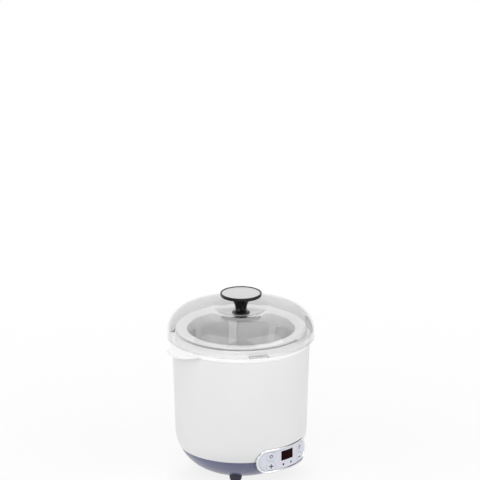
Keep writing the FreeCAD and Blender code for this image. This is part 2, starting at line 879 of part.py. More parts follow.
revolve(lid, [
    (lid_radius, ledge),
    (lid_radius, skirt_top),
    (crown_radius + lean_x * crown_arc, crown_centre + lean_z * crown_arc, shoulder, "left"),
    (crown_radius, crown_top, crown_arc, "left"),
    (seat_radius + dish_x * dish_arc, dish_centre + dish_z * dish_arc, dish_arc, "left"),
    (seat_radius, seat_top, dish_arc, "right"),
    (screw_way, seat_top),
    (screw_way, seat_top - lid_wall),
    (seat_radius, seat_top - lid_wall),
    (
        seat_radius + dish_x * (dish_arc + lid_wall),
        dish_centre + dish_z * (dish_arc + lid_wall),
        dish_arc + lid_wall,
        "left",
    ),
    (crown_radius, crown_top - lid_wall, dish_arc - lid_wall, "right"),
    (crown_radius + lean_x * crown_inner, crown_centre + lean_z * crown_inner, crown_inner, "right"),
    (lid_radius - lid_wall, skirt_top, shoulder - lid_wall, "right"),
    (lid_radius - lid_wall, ledge),
])

# Three low rests inside the lid's skirt stand on the ledge around the raised rim
rest_inner = rim_outer + 0.6
rest_outer = lid_radius - lid_wall + 0.5
rest_height = 2.0
rest_sketch = new_sketch(lid, "XZ_Plane")
draw_box(rest_sketch, rest_inner, ledge, rest_outer, ledge + rest_height)
rest = lid.newObject("PartDesign::Revolution", "lid_rest")
rest.Profile = rest_sketch
rest.ReferenceAxis = (rest_sketch, ["V_Axis"])
rest.Angle = 16
rest.Midplane = True
polar(lid, rest, 3)

# Knob with its bright cap, washer and screw
knob = keep(new_body("lid_knob"))
knob_top = seat_top + of("knob_height")
knob_radius = of("knob_radius")
stem_radius = of("knob_stem_radius")
stem_low = seat_top + of("knob_height") * 0.10
stem_high = seat_top + of("knob_height") * 0.70
cap_floor = knob_top - 2.2
cap_radius = knob_radius - 1.9
screw_depth = of("knob_height") * 0.55
revolve(knob, [
    (of("knob_screw_radius") + 0.1, seat_top),
    (of("knob_base_radius"), seat_top),
    (of("knob_base_radius") - 0.4, seat_top + 1.0),
    (stem_radius, stem_low, 6.0, "right"),
    (stem_radius + 0.3, stem_low + 3.0),
    (stem_radius * 2, stem_high, of("knob_height") * 0.62, "right"),
    (knob_radius - 1.4, knob_top - 4.6),
    (knob_radius, knob_top - 3.2, 1.6, "left"),
    (knob_radius, knob_top - 1.4),
    (knob_radius - 0.8, knob_top - 0.6, 0.8, "left"),
    (cap_radius + 0.1, knob_top - 0.6),
    (cap_radius + 0.1, cap_floor),
    (0, cap_floor),
    (0, seat_top + screw_depth),
    (of("knob_screw_radius") + 0.1, seat_top + screw_depth),
])
cap = keep(new_body("knob_cap"))
cap_rise = 1.2
cap_arc = (cap_radius * cap_radius + cap_rise * cap_rise) / (2 * cap_rise)
revolve(cap, [
    (0, cap_floor),
    (cap_radius, cap_floor),
    (cap_radius, knob_top - cap_rise),
    (0, knob_top, cap_arc, "left"),
])
washer = keep(new_body("knob_washer"))
washer_top = seat_top - lid_wall
revolve(washer, [
    (screw_way, washer_top - 1.5),
    (seat_radius - 2, washer_top - 1.5),
    (seat_radius - 2, washer_top),
    (screw_way, washer_top),
])
knob_screw = keep(new_body("knob_screw"))
screw_under = washer_top - 1.5
revolve(knob_screw, [
    (0, screw_under - 2.6),
    (3.0, screw_under - 2.6),
    (4.4, screw_under - 1.2, 1.5, "left"),
    (4.4, screw_under),
    (of("knob_screw_radius"), screw_under),
    (of("knob_screw_radius"), seat_top + screw_depth - 1),
    (0, seat_top + screw_depth - 1),
])


# Control panel bezel and face plate
bezel = keep(stand_in_panel(new_body("panel_bezel")))
bezel_inner = panel_face - of("bezel_depth")
wrapped_band(bezel, bezel_inner, panel_face + 4, half_height)
wrapped_band(bezel, bezel_inner - 8, panel_face + 9, opening_height, cut=True)
turned_cut(bezel, panel_face, panel_face + 20, -2 * half_height, 2 * half_height)

# Face plate with its holes and two screw bosses
plate = keep(stand_in_panel(new_body("panel_plate")))
wrapped_band(plate, plate_back - 6, plate_face + 5, opening_height - 0.15)
turned_cut(plate, plate_face, plate_face + 20, -half_height, half_height)
turned_cut(plate, plate_back - 20, plate_back, -half_height, half_height)
plate_boss = (of("display_width") / 2 + of("button_across") - of("button_radius")) / 2
plate_bosses = new_sketch(plate, "XZ_Plane", board_front)
for x in (-plate_boss, plate_boss):
    draw_circle(plate_bosses, x, 0, 1.9)
pad(plate, plate_bosses, root(plate_back * plate_back - plate_boss * plate_boss) - board_front + 0.7)
plate_screw_holes = new_sketch(plate, "XZ_Plane", board_front)
for x in (-plate_boss, plate_boss):
    draw_circle(plate_screw_holes, x, 0, 1.05)
pocket(plate, plate_screw_holes, 5, reverse=True)
plate_holes = new_sketch(plate, "XZ_Plane")
BUTTONS = {
    "button_power": (-of("button_across"), of("button_up")),
    "button_plus": (-of("button_across"), -of("button_up")),
    "button_mode": (of("button_across"), of("button_up")),
    "button_minus": (of("button_across"), -of("button_up")),
}
for x, z in BUTTONS.values():
    draw_circle(plate_holes, x, z, of("button_radius") + of("button_play"))
display_half = of("display_width") / 2
display_low = of("display_up") - of("display_height") / 2
display_high = of("display_up") + of("display_height") / 2
draw_box(plate_holes, -display_half - 0.1, display_low - 0.1, display_half + 0.1, display_high + 0.1)
for x in (-of("indicator_across"), of("indicator_across")):
    draw_circle(plate_holes, x, -of("indicator_down"), of("indicator_radius") + 0.1)
pocket(plate, plate_holes, reverse=True)

# Dark window over the display
display_window = keep(stand_in_panel(new_body("display_window")))
window_height = of("display_height")
window_pad = new_sketch(display_window, "XY_Plane", display_low)
window_inner = root((plate_back + 0.1) * (plate_back + 0.1) - display_half * display_half)
window_outer = root((plate_face + 0.15) * (plate_face + 0.15) - display_half * display_half)
draw_outline(window_pad, [
    (display_half, -window_inner),
    (-display_half, -window_inner, plate_back + 0.1, "right"),
    (-display_half, -window_outer),
    (display_half, -window_outer, plate_face + 0.15, "left"),
])
pad(display_window, window_pad, window_height)


# Round pieces that stand on the control board, along the panel's outward direction
def outward(name, radius, start, end, x, z):
    turn = Rotation(Vector(1, 0, 0), 90)
    return cylinder(name, radius, end - start, x, -start, z, turn)


lens_reach = root(plate_face * plate_face - of("indicator_across") * of("indicator_across"))
lens_start = lens_reach - of("plate_thickness") - 0.4
for side, x in (("left", -of("indicator_across")), ("right", of("indicator_across"))):
    name = "indicator_lens_" + side
    lens_radius = of("indicator_radius")
    lens = outward(name + "_rod", lens_radius, lens_start, lens_reach + 0.2, x, -of("indicator_down"))
    keep(stand_in_panel(group(name, [lens])))
keep(stand_in_panel(group("indicator_leds", [
    outward("indicator_led_" + side, 1.4, board_front, lens_start - 0.1, x, -of("indicator_down"))
    for side, x in (("left", -of("indicator_across")), ("right", of("indicator_across")))
])))

# Control board, display module, switches and board screws
board = keep(stand_in_panel(new_body("control_board")))
board_half_width = of("button_across") + 6
board_half_height = opening_height - 1.2
board_sketch = new_sketch(board, "XZ_Plane", board_back)
draw_rounded(board_sketch, board_half_width, board_half_height, 1.5)
for x in (-plate_boss, plate_boss):
    draw_circle(board_sketch, x, 0, 1.2)
pad(board, board_sketch, of("board_thickness"))
module = keep(stand_in_panel(new_body("display_module")))
module_sketch = new_sketch(module, "XZ_Plane", board_front)
draw_rounded(module_sketch, display_half - 0.3, of("display_height") / 2 - 0.3, 0.8, 0, of("display_up"))
pad(module, module_sketch, window_inner - 0.2 - board_front)

switch_room = 1.6
switches = []
for name, (x, z) in BUTTONS.items():
    case = block("switch_case_" + name, as_size(6), as_size(switch_height), as_size(6), x, 0, z - 3)
    bind(case, "Placement.Base.y", -switch_front)
    well = outward("switch_well_" + name, 1.75, switch_front - switch_room, switch_front + 1, x, z)
    switches.append(joined("switch_" + name, case, well, "Part::Cut"))
keep(stand_in_panel(group("tact_switches", switches)))

board_screws = []
for side, x in (("left", -plate_boss), ("right", plate_boss)):
    head = outward("board_screw_head_" + side, 1.9, board_back - 1.2, board_back, x, 0)
    shank = outward("board_screw_shank_" + side, 1.0, board_back, board_front + 4.5, x, 0)
    board_screws.append(joined("board_screw_" + side, head, shank, "Part::Fuse"))
keep(stand_in_panel(group("control_board_screws", board_screws)))

# Push buttons: a round cap with a curved face and a stem into its switch
button_face = plate_face + 0.5
button_back = switch_front + of("button_travel") + 0.2
for name, (x, z) in BUTTONS.items():
    button = keep(stand_in_panel(new_body(name)))
    cap_sketch = new_sketch(button, "XZ_Plane", button_back)
    draw_circle(cap_sketch, x, z, of("button_radius"))
    pad(button, cap_sketch, button_face - button_back)
    turned_cut(button, button_face, button_face + 12, -half_height, half_height)
    stem_sketch = new_sketch(button, "XZ_Plane", switch_front - switch_room + of("button_travel") + 0.2)
    draw_circle(stem_sketch, x, z, 1.45)
    pad(button, stem_sketch, switch_room + 0.5)

# Heater: spreader plate, element, strap, sensors
keep(group("heat_plate", [cylinder("heat_plate_disc", of("heater_radius"), 1.5, z=floor_under - 1.5)]))
element = keep(new_body("heating_element"))
element_sketch = new_sketch(element, "XY_Plane", strap_top)
draw_circle(element_sketch, 0, 0, of("heater_radius") - 4)
draw_circle(element_sketch, 0, 0, 10)
pad(element, element_sketch, 1.5)
strap = keep(new_body("heater_strap"))
strap_sketch = new_sketch(strap, "XY_Plane", strap_top - 1)
draw_rounded(strap_sketch, strap_screw + 5, as_size(9), as_size(5))
draw_circle(strap_sketch, 0, 0, 7)
for x in (-strap_screw, strap_screw):
    draw_circle(strap_sketch, x, 0, 1.7)
pad(strap, strap_sketch, 1)
keep(group("heater_screws", [
    screw("heater_screw_" + side, 2.6, 1.8, 1.25, 4.3, x, 0, strap_top - 1)
    for side, x in (("left", -strap_screw), ("right", strap_screw))
]))
sensor_side = as_size(7)
sensor = block("thermistor_block", sensor_side, sensor_side, as_size(4), z=floor_under - 5.5)
keep(group("thermistor", [sensor]))
fuse_turn = Rotation(Vector(0, 1, 0), 90)
keep(group("thermal_fuse", [cylinder("thermal_fuse_rod", 1.8, 11, 14, 0, strap_top - 2.85, fuse_turn)]))

# Power board with its parts
power_board = keep(new_body("power_board"))
power_sketch = new_sketch(power_board, "XY_Plane", of("power_board_height"))
draw_rounded(power_sketch, of("power_board_length") / 2, of("power_board_width") / 2, as_size(2))
for x, y in BOARD_CORNERS:
    draw_circle(power_sketch, x, y, 1.3)
pad(power_board, power_sketch, of("board_thickness"))
keep(group("power_board_screws", [
    screw(f"power_board_screw_{number}", 2.2, 1.6, 0.95, 5, x, y, board_top, up=False)
    for number, (x, y) in enumerate(BOARD_CORNERS)
]))
PARTS_ON_BOARD = {
    "relay": (19, 15.5, 10.4, -11.5, -0.5),
    "mains_capacitor": (18, 7, 9.5, 11, 4.5),
    "terminal_block": (16, 7.6, 9, 0, 13.2),
}
for name, (length, width, height, x, y) in PARTS_ON_BOARD.items():
    case = block(name + "_case", as_size(length), as_size(width), as_size(height), x, y, board_top)
    keep(group(name, [case]))
keep(group("smoothing_capacitor", [cylinder("smoothing_can", 5, 10, 14, -8, board_top)]))

# Leads from the terminal block to the element, and the panel ribbon
keep(group("heater_leads", [
    cylinder("heater_lead_" + side, 1.1, strap_top - board_top - 9, x, 13.2, board_top + 9)
    for side, x in (("left", -4), ("right", 4))
]))
ribbon = keep(new_body("panel_ribbon"))
ribbon_half = 6
ribbon_drop = 8
ribbon_start = board_back - 0.2
ribbon_level = of("panel_height") - ribbon_drop
plug_front = of("power_board_width") / 2 - 1
ribbon_sketch = new_sketch(ribbon, "YZ_Plane")
draw_outline(ribbon_sketch, [
    (-ribbon_start, ribbon_level - 0.5),
    (8 - ribbon_start, ribbon_level - 1),
    (-plug_front - 10, board_top + 4.6),
    (-plug_front, board_top + 4.6),
    (-plug_front, board_top),
    (4 - plug_front, board_top),
    (4 - plug_front, board_top + 5.6),
    (-plug_front - 9.7, board_top + 5.6),
    (8.3 - ribbon_start, ribbon_level),
    (-ribbon_start, ribbon_level + 0.5),
])
pad(ribbon, ribbon_sketch, 2 * ribbon_half, both_ways=True)


# Cord gland and its lock ring, turned about the rearward axis
def stand_rearward(item):
    item.Placement = Placement(Vector(0, 0, 0), Rotation(Vector(1, 0, 0), -90))
    bind(item, "Placement.Base.z", of("gland_height"))
    return item


gland = keep(stand_rearward(new_body("cord_gland")))
gland_bore = of("gland_bore")
gland_end = gland_reach + 2.4
revolve(gland, [
    (gland_bore, gland_inner - 4),
    (gland_bore + 1.5, gland_inner - 4),
    (gland_bore + 1.5, gland_reach),
    (gland_ring_radius, gland_reach),
    (gland_ring_radius, gland_end - 0.8),
    (gland_bore + 2.8, gland_end, 0.8, "left"),
    (gland_bore, gland_end),
])
lock_ring = keep(stand_rearward(new_body("gland_ring")))
revolve(lock_ring, [
    (gland_bore + 1.6, gland_inner - 2.2),
    (gland_ring_radius, gland_inner - 2.2),
    (gland_ring_radius, gland_inner),
    (gland_bore + 1.6, gland_inner),
])

doc.recompute()

# Check every object, then write one file for each piece
faults = [item.Label for item in doc.Objects if "Invalid" in item.State or "Error" in item.State]
for item in nodes:
    if item.Shape.isNull() or not item.Shape.isValid():
        faults.append(item.Label + " shape")
if faults:
    raise RuntimeError("faulty pieces: " + ", ".join(faults))
os.makedirs("parts", exist_ok=True)
for item in nodes:
    item.Shape.exportStep(os.path.join("parts", item.Label + ".step"))
    box = item.Shape.BoundBox
    print(f"{item.Label:24s} {len(item.Shape.Solids)} {item.Shape.Volume:11.1f}"
          f" z {box.ZMin:7.2f} {box.ZMax:7.2f}")
print(len(nodes), "pieces")
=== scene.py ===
# %% [markdown]
# # A yogurt maker around its CAD frame
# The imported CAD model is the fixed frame: it says where every piece is and
# what moves. This notebook gives each visible piece its finished shape and
# finish, and leaves the sizes as they are.

# %% Load the frame
import json
import math

import bmesh
import bpy
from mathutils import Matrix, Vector


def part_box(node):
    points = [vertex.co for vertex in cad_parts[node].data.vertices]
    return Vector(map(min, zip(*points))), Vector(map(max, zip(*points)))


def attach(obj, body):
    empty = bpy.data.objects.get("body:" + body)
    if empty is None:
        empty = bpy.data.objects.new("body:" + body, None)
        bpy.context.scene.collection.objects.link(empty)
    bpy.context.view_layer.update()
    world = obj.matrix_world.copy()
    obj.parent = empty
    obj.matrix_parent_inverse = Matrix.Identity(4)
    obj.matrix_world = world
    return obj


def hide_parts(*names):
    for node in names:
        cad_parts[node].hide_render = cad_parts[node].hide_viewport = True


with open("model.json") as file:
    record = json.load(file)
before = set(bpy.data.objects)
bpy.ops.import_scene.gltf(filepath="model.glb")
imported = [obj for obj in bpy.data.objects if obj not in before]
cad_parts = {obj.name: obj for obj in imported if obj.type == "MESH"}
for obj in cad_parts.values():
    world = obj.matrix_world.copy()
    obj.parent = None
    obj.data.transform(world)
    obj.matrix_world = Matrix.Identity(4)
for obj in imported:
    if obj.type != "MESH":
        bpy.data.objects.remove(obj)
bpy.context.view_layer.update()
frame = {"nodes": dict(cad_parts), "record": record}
MM = 0.001

# %% [markdown]
# ## Camera
# The photograph looks down on the round body from its front left corner,
# from far away through a long lens, so its ellipses are flat and its sides
# nearly upright. A camera can be placed by trial, but here the eye point,
# the tilt and the focal length are set as numbers, because they were worked
# out from the ellipses. The frame leaves room above the closed machine for
# the lid, the basket and the tub when they are lifted.

# %% Place the camera
scene = bpy.context.scene
scene.view_settings.view_transform = "Standard"
CAMERA_TURN = math.radians(44.5)
CAMERA_TILT = math.radians(17.58)
CAMERA_DISTANCE = 4.0
CAMERA_HEIGHT = 1.546
FOCAL_PIXELS = 3664
FRAME_PIXELS = 480
SENSOR = 36.0

camera = bpy.data.objects.new("camera", bpy.data.cameras.new("camera"))
scene.collection.objects.link(camera)
camera.location = (
    -CAMERA_DISTANCE * math.sin(CAMERA_TURN),
    -CAMERA_DISTANCE * math.cos(CAMERA_TURN),
    CAMERA_HEIGHT,
)
gaze = Vector((
    math.sin(CAMERA_TURN) * math.cos(CAMERA_TILT),
    math.cos(CAMERA_TURN) * math.cos(CAMERA_TILT),
    -math.sin(CAMERA_TILT),
))
camera.rotation_euler = gaze.to_track_quat("-Z", "Y").to_euler()
camera.data.sensor_width = SENSOR
camera.data.lens = SENSOR * FOCAL_PIXELS / FRAME_PIXELS
camera.data.shift_x = -1.0 / FRAME_PIXELS
camera.data.clip_end = 100.0
scene.camera = camera
print("lens", round(camera.data.lens, 1), "mm")

# %% [markdown]
# ## Node helpers
# Every finish below is a small node tree. Three helpers keep them short: one
# adds a node and sets its inputs, one joins two sockets, and one starts a
# material with a Principled BSDF.

# %% Node helpers
def add_node(tree, kind, settings=None, **inputs):
    node = tree.nodes.new(kind)
    for name, value in (settings or {}).items():
        setattr(node, name, value)
    for name, value in inputs.items():
        node.inputs[name.replace("_", " ")].default_value = value
    return node


def link(tree, source, target):
    tree.links.new(source, target)


def new_material(name, **inputs):
    material = bpy.data.materials.new(name)
    material.use_nodes = True
    shader = material.node_tree.nodes["Principled BSDF"]
    for key, value in inputs.items():
        shader.inputs[key.replace("_", " ")].default_value = value
    return material, material.node_tree, shader


def rgb(red, green, blue):
    return (red, green, blue, 1.0)


print("node helpers ready")

# %% [markdown]
# ## Studio
# The machine stands on a white floor that runs into a white world. For rays
# that come from the camera, or by way of gloss or glass, floor and world
# simply are white. The floor keeps a share of its own shading, so that a soft
# shadow ties the machine to it, and turns fully white further out. One large
# softbox stands on each side of the camera, and the lid mirrors these two as
# bright patches. Fill lamps, which gloss and the clear lid don't show, reach the
# hollow insides from behind and from the front, and the walls from both sides.
# Light may bounce more often than by default, because white hollows brighten
# themselves and the clear lid's edges pass it on many times.

# %% Floor and world
FLOOR_RADIUS = 9.0
SHADOW_FADE = {"From_Min": 0.15, "From_Max": 0.7, "To_Min": 0.82, "To_Max": 1.0}


def seen_directly(tree):
    path = add_node(tree, "ShaderNodeLightPath")
    first = add_node(tree, "ShaderNodeMath", {"operation": "MAXIMUM"})
    second = add_node(tree, "ShaderNodeMath", {"operation": "MAXIMUM"})
    link(tree, path.outputs["Is Camera Ray"], first.inputs[0])
    link(tree, path.outputs["Is Glossy Ray"], first.inputs[1])
    link(tree, first.outputs[0], second.inputs[0])
    link(tree, path.outputs["Is Transmission Ray"], second.inputs[1])
    return second.outputs[0]


def make_floor():
    mesh = bpy.data.meshes.new("floor")
    shape = bmesh.new()
    bmesh.ops.create_circle(shape, cap_ends=True, segments=64, radius=FLOOR_RADIUS)
    shape.to_mesh(mesh)
    shape.free()
    floor = bpy.data.objects.new("floor", mesh)
    scene.collection.objects.link(floor)
    material, tree, shader = new_material("floor_white", Base_Color=rgb(0.86, 0.86, 0.86), Roughness=0.7)
    glow = add_node(tree, "ShaderNodeEmission", Color=rgb(1, 1, 1), Strength=1.0)
    place = add_node(tree, "ShaderNodeTexCoord").outputs["Object"]
    reach = add_node(tree, "ShaderNodeVectorMath", {"operation": "LENGTH"})
    fade = add_node(tree, "ShaderNodeMapRange", **SHADOW_FADE)
    share = add_node(tree, "ShaderNodeMath", {"operation": "MULTIPLY"})
    link(tree, place, reach.inputs[0])
    link(tree, reach.outputs["Value"], fade.inputs["Value"])
    link(tree, fade.outputs["Result"], share.inputs[1])
    mix = add_node(tree, "ShaderNodeMixShader")
    link(tree, seen_directly(tree), share.inputs[0])
    link(tree, share.outputs[0], mix.inputs[0])
    link(tree, shader.outputs[0], mix.inputs[1])
    link(tree, glow.outputs[0], mix.inputs[2])
    link(tree, mix.outputs[0], tree.nodes["Material Output"].inputs["Surface"])
    mesh.materials.append(material)
    return floor


def make_world(ambient):
    world = bpy.data.worlds.new("studio")
    world.use_nodes = True
    tree = world.node_tree
    plain = tree.nodes["Background"]
    plain.inputs["Color"].default_value = rgb(1, 1, 1)
    plain.inputs["Strength"].default_value = ambient
    white = add_node(tree, "ShaderNodeBackground", Color=rgb(1, 1, 1), Strength=1.0)
    mix = add_node(tree, "ShaderNodeMixShader")
    link(tree, seen_directly(tree), mix.inputs[0])
    link(tree, plain.outputs[0], mix.inputs[1])
    link(tree, white.outputs[0], mix.inputs[2])
    link(tree, mix.outputs[0], tree.nodes["World Output"].inputs["Surface"])
    scene.world = world


make_floor()
make_world(ambient=0.06)
print("floor and world are white")

# %% Lamps
TARGET = Vector((0, 0, 0.25))
SOFTBOX = {"elevation": 37.0, "distance": 2.4, "width": 2.0, "height": 2.4}
SIDE_FILL = {"elevation": 8.0, "distance": 2.6, "width": 1.0, "height": 1.3}
BOUNCES = {"diffuse_bounces": 10, "glossy_bounces": 16, "transmission_bounces": 24, "max_bounces": 32}


def way_out(azimuth, elevation):
    turn, rise = math.radians(azimuth), math.radians(elevation)
    return Vector((math.sin(turn) * math.cos(rise), -math.cos(turn) * math.cos(rise), math.sin(rise)))


def softbox(name, power, azimuth, elevation, distance, width, height):
    way = way_out(azimuth, elevation)
    lamp = bpy.data.lights.new(name, "AREA")
    lamp.shape = "RECTANGLE"
    lamp.size = width
    lamp.size_y = height
    lamp.energy = power
    holder = bpy.data.objects.new(name, lamp)
    holder.location = TARGET + way * distance
    holder.rotation_euler = (-way).to_track_quat("-Z", "Y").to_euler()
    scene.collection.objects.link(holder)
    return holder


softbox("left_softbox", power=26, azimuth=-90.5, **SOFTBOX)
softbox("right_softbox", power=25, azimuth=2.5, **SOFTBOX)
fills = [
    softbox("back_fill", power=46, azimuth=140.0, elevation=40.0, distance=2.6, width=1.6, height=1.0),
    softbox("front_fill", power=22, azimuth=-44.5, elevation=22.0, distance=3.6, width=1.0, height=1.3),
    softbox("left_fill", power=12, azimuth=-118.0, **SIDE_FILL),
    softbox("right_fill", power=12, azimuth=29.0, **SIDE_FILL),
]
for fill in fills:
    fill.visible_glossy = False
    fill.visible_transmission = False
for kind, count in BOUNCES.items():
    setattr(scene.cycles, kind, count)
print("two softboxes and", len(fills), "fill lamps")

# %% [markdown]
# Chrome only looks like chrome when it has something dark to mirror. Two dark
# cards, as photographers use them, help here: both hang close to the panel,
# one on its right and one on its left. Only mirrored rays meet them, so they
# take no light away from the machine.

# %% Dark cards
def dark_card(name, start, azimuth, elevation, distance, width, height):
    way = way_out(azimuth, elevation)
    aside = way.cross(Vector((0, 0, 1))).normalized() * width / 2
    above = aside.normalized().cross(way) * height / 2
    centre = Vector(start) + way * distance
    mesh = bpy.data.meshes.new(name)
    corners = [centre + aside * x + above * z for x, z in ((-1, -1), (1, -1), (1, 1), (-1, 1))]
    mesh.from_pydata(corners, [], [[0, 1, 2, 3]])
    card = bpy.data.objects.new(name, mesh)
    scene.collection.objects.link(card)
    cloth, tree, shader = new_material(name + "_cloth", Base_Color=rgb(0.01, 0.01, 0.01), Roughness=0.9)
    mesh.materials.append(cloth)
    for kind in ("camera", "diffuse", "transmission", "shadow", "volume_scatter"):
        setattr(card, "visible_" + kind, False)
    return card


dark_card("right_card", (0.02, -0.07, 0.044), azimuth=74.0, elevation=31.0, distance=0.25,
          width=0.28, height=0.15)
dark_card("left_card", (-0.035, -0.066, 0.044), azimuth=-104.0, elevation=38.0, distance=0.22,
          width=0.16, height=0.13)
print("two dark cards")

# %% [markdown]
# ## Shared surface effects
# Moulded plastic is never quite even: it has a fine grain from the tool, a
# slow drift of tone where the melt cooled, and a few hairlines from handling.
# Each of these is a shader node group with named inputs, so that every finish
# can take its own dose.

# %% Shader node groups
def new_group(name, inputs, outputs):
    tree = bpy.data.node_groups.new(name, "ShaderNodeTree")
    for label, kind, value in inputs:
        socket = tree.interface.new_socket(label, in_out="INPUT", socket_type=kind)
        if value is not None:
            socket.default_value = value
    for label, kind in outputs:
        tree.interface.new_socket(label, in_out="OUTPUT", socket_type=kind)
    enter = tree.nodes.new("NodeGroupInput")
    leave = tree.nodes.new("NodeGroupOutput")
    return tree, enter, leave


FLOAT = "NodeSocketFloat"
COLOUR = "NodeSocketColor"
VECTOR = "NodeSocketVector"


# Tone: a colour that drifts a little over the surface
def make_tone_group():
    tree, enter, leave = new_group(
        "tone_drift",
        [("Vector", VECTOR, None), ("Colour", COLOUR, None), ("Deep", COLOUR, None),
         ("Size", FLOAT, 14.0), ("Amount", FLOAT, 0.5)],
        [("Colour", COLOUR)],
    )
    noise = add_node(tree, "ShaderNodeTexNoise", Detail=4.0, Roughness=0.55)
    ramp = add_node(tree, "ShaderNodeMapRange", From_Min=0.35, From_Max=0.65)
    dose = add_node(tree, "ShaderNodeMath", {"operation": "MULTIPLY"})
    mix = add_node(tree, "ShaderNodeMix", {"data_type": "RGBA"})
    link(tree, enter.outputs["Vector"], noise.inputs["Vector"])
    link(tree, enter.outputs["Size"], noise.inputs["Scale"])
    link(tree, noise.outputs["Fac"], ramp.inputs["Value"])
    link(tree, ramp.outputs["Result"], dose.inputs[0])
    link(tree, enter.outputs["Amount"], dose.inputs[1])
    link(tree, dose.outputs[0], mix.inputs[0])
    link(tree, enter.outputs["Colour"], mix.inputs[6])
    link(tree, enter.outputs["Deep"], mix.inputs[7])
    link(tree, mix.outputs[2], leave.inputs["Colour"])
    return tree


# Grain: the tool's fine texture, as a height, and a roughness that follows it
def make_grain_group():
    tree, enter, leave = new_group(
        "moulded_grain",
        [("Vector", VECTOR, None), ("Size", FLOAT, 900.0), ("Rough low", FLOAT, 0.25),
         ("Rough high", FLOAT, 0.35)],
        [("Height", FLOAT), ("Roughness", FLOAT)],
    )
    fine = add_node(tree, "ShaderNodeTexNoise", Detail=3.0)
    broad = add_node(tree, "ShaderNodeTexNoise", Scale=45.0, Detail=5.0, Roughness=0.6)
    rough = add_node(tree, "ShaderNodeMapRange", From_Min=0.3, From_Max=0.7)
    link(tree, enter.outputs["Vector"], fine.inputs["Vector"])
    link(tree, enter.outputs["Vector"], broad.inputs["Vector"])
    link(tree, enter.outputs["Size"], fine.inputs["Scale"])
    link(tree, broad.outputs["Fac"], rough.inputs["Value"])
    link(tree, enter.outputs["Rough low"], rough.inputs["To Min"])
    link(tree, enter.outputs["Rough high"], rough.inputs["To Max"])
    link(tree, fine.outputs["Fac"], leave.inputs["Height"])
    link(tree, rough.outputs["Result"], leave.inputs["Roughness"])
    return tree


# Hairlines: sparse stretched marks from handling, as a mask
def make_hairline_group():
    tree, enter, leave = new_group(
        "hairlines",
        [("Vector", VECTOR, None), ("Size", FLOAT, 60.0), ("Amount", FLOAT, 0.5)],
        [("Mask", FLOAT)],
    )
    stretch = add_node(tree, "ShaderNodeMapping")
    stretch.inputs["Scale"].default_value = (1.0, 0.06, 0.35)
    stretch.inputs["Rotation"].default_value = (0.4, 0.2, 0.7)
    noise = add_node(tree, "ShaderNodeTexNoise", Detail=2.0, Roughness=0.4)
    cut = add_node(tree, "ShaderNodeMapRange", From_Min=0.68, From_Max=0.74)
    dose = add_node(tree, "ShaderNodeMath", {"operation": "MULTIPLY"})
    link(tree, enter.outputs["Vector"], stretch.inputs["Vector"])
    link(tree, stretch.outputs["Vector"], noise.inputs["Vector"])
    link(tree, enter.outputs["Size"], noise.inputs["Scale"])
    link(tree, noise.outputs["Fac"], cut.inputs["Value"])
    link(tree, cut.outputs["Result"], dose.inputs[0])
    link(tree, enter.outputs["Amount"], dose.inputs[1])
    link(tree, dose.outputs[0], leave.inputs["Mask"])
    return tree


TONE = make_tone_group()
GRAIN = make_grain_group()
HAIRLINES = make_hairline_group()
print("groups:", TONE.name, GRAIN.name, HAIRLINES.name)

# %% [markdown]
# ## Finishes
# One recipe covers every moulded, rubber or painted surface here: a colour
# that drifts between two near tones, a roughness with a range, a fine bump and
# a few hairlines. The blue tray's gloss comes from a thin clear coat. Metals
# use the same recipe with their Metallic input at one.

# %% The common recipe
GRAIN_DEPTH = 0.0004


def use_group(tree, group, vector=None, **inputs):
    node = tree.nodes.new("ShaderNodeGroup")
    node.node_tree = group
    for key, value in inputs.items():
        node.inputs[key.replace("_", " ")].default_value = value
    if vector is not None:
        link(tree, vector, node.inputs["Vector"])
    return node


def wear(tree, shader, surface, lines):
    worn = add_node(tree, "ShaderNodeMath", {"operation": "ADD", "use_clamp": True})
    link(tree, surface.outputs["Roughness"], worn.inputs[0])
    link(tree, lines.outputs["Mask"], worn.inputs[1])
    link(tree, worn.outputs[0], shader.inputs["Roughness"])


def finish(name, tone, deep, rough, grain=900.0, bump=0.03, marks=0.15, drift=14.0, **sockets):
    material, tree, shader = new_material(name, **sockets)
    place = add_node(tree, "ShaderNodeTexCoord").outputs["Object"]
    colour = use_group(tree, TONE, place, Colour=rgb(*tone), Deep=rgb(*deep), Size=drift, Amount=1.0)
    surface = use_group(tree, GRAIN, place, Size=grain, Rough_low=rough[0], Rough_high=rough[1])
    lines = use_group(tree, HAIRLINES, place, Amount=marks)
    relief = add_node(tree, "ShaderNodeBump", Strength=bump, Distance=GRAIN_DEPTH)
    link(tree, colour.outputs["Colour"], shader.inputs["Base Color"])
    wear(tree, shader, surface, lines)
    link(tree, surface.outputs["Height"], relief.inputs["Height"])
    link(tree, relief.outputs["Normal"], shader.inputs["Normal"])
    return material


FINISHES = {}


def keep_finish(slot, **recipe):
    FINISHES[slot] = finish(slot, **recipe)
    return FINISHES[slot]


print("recipe ready")

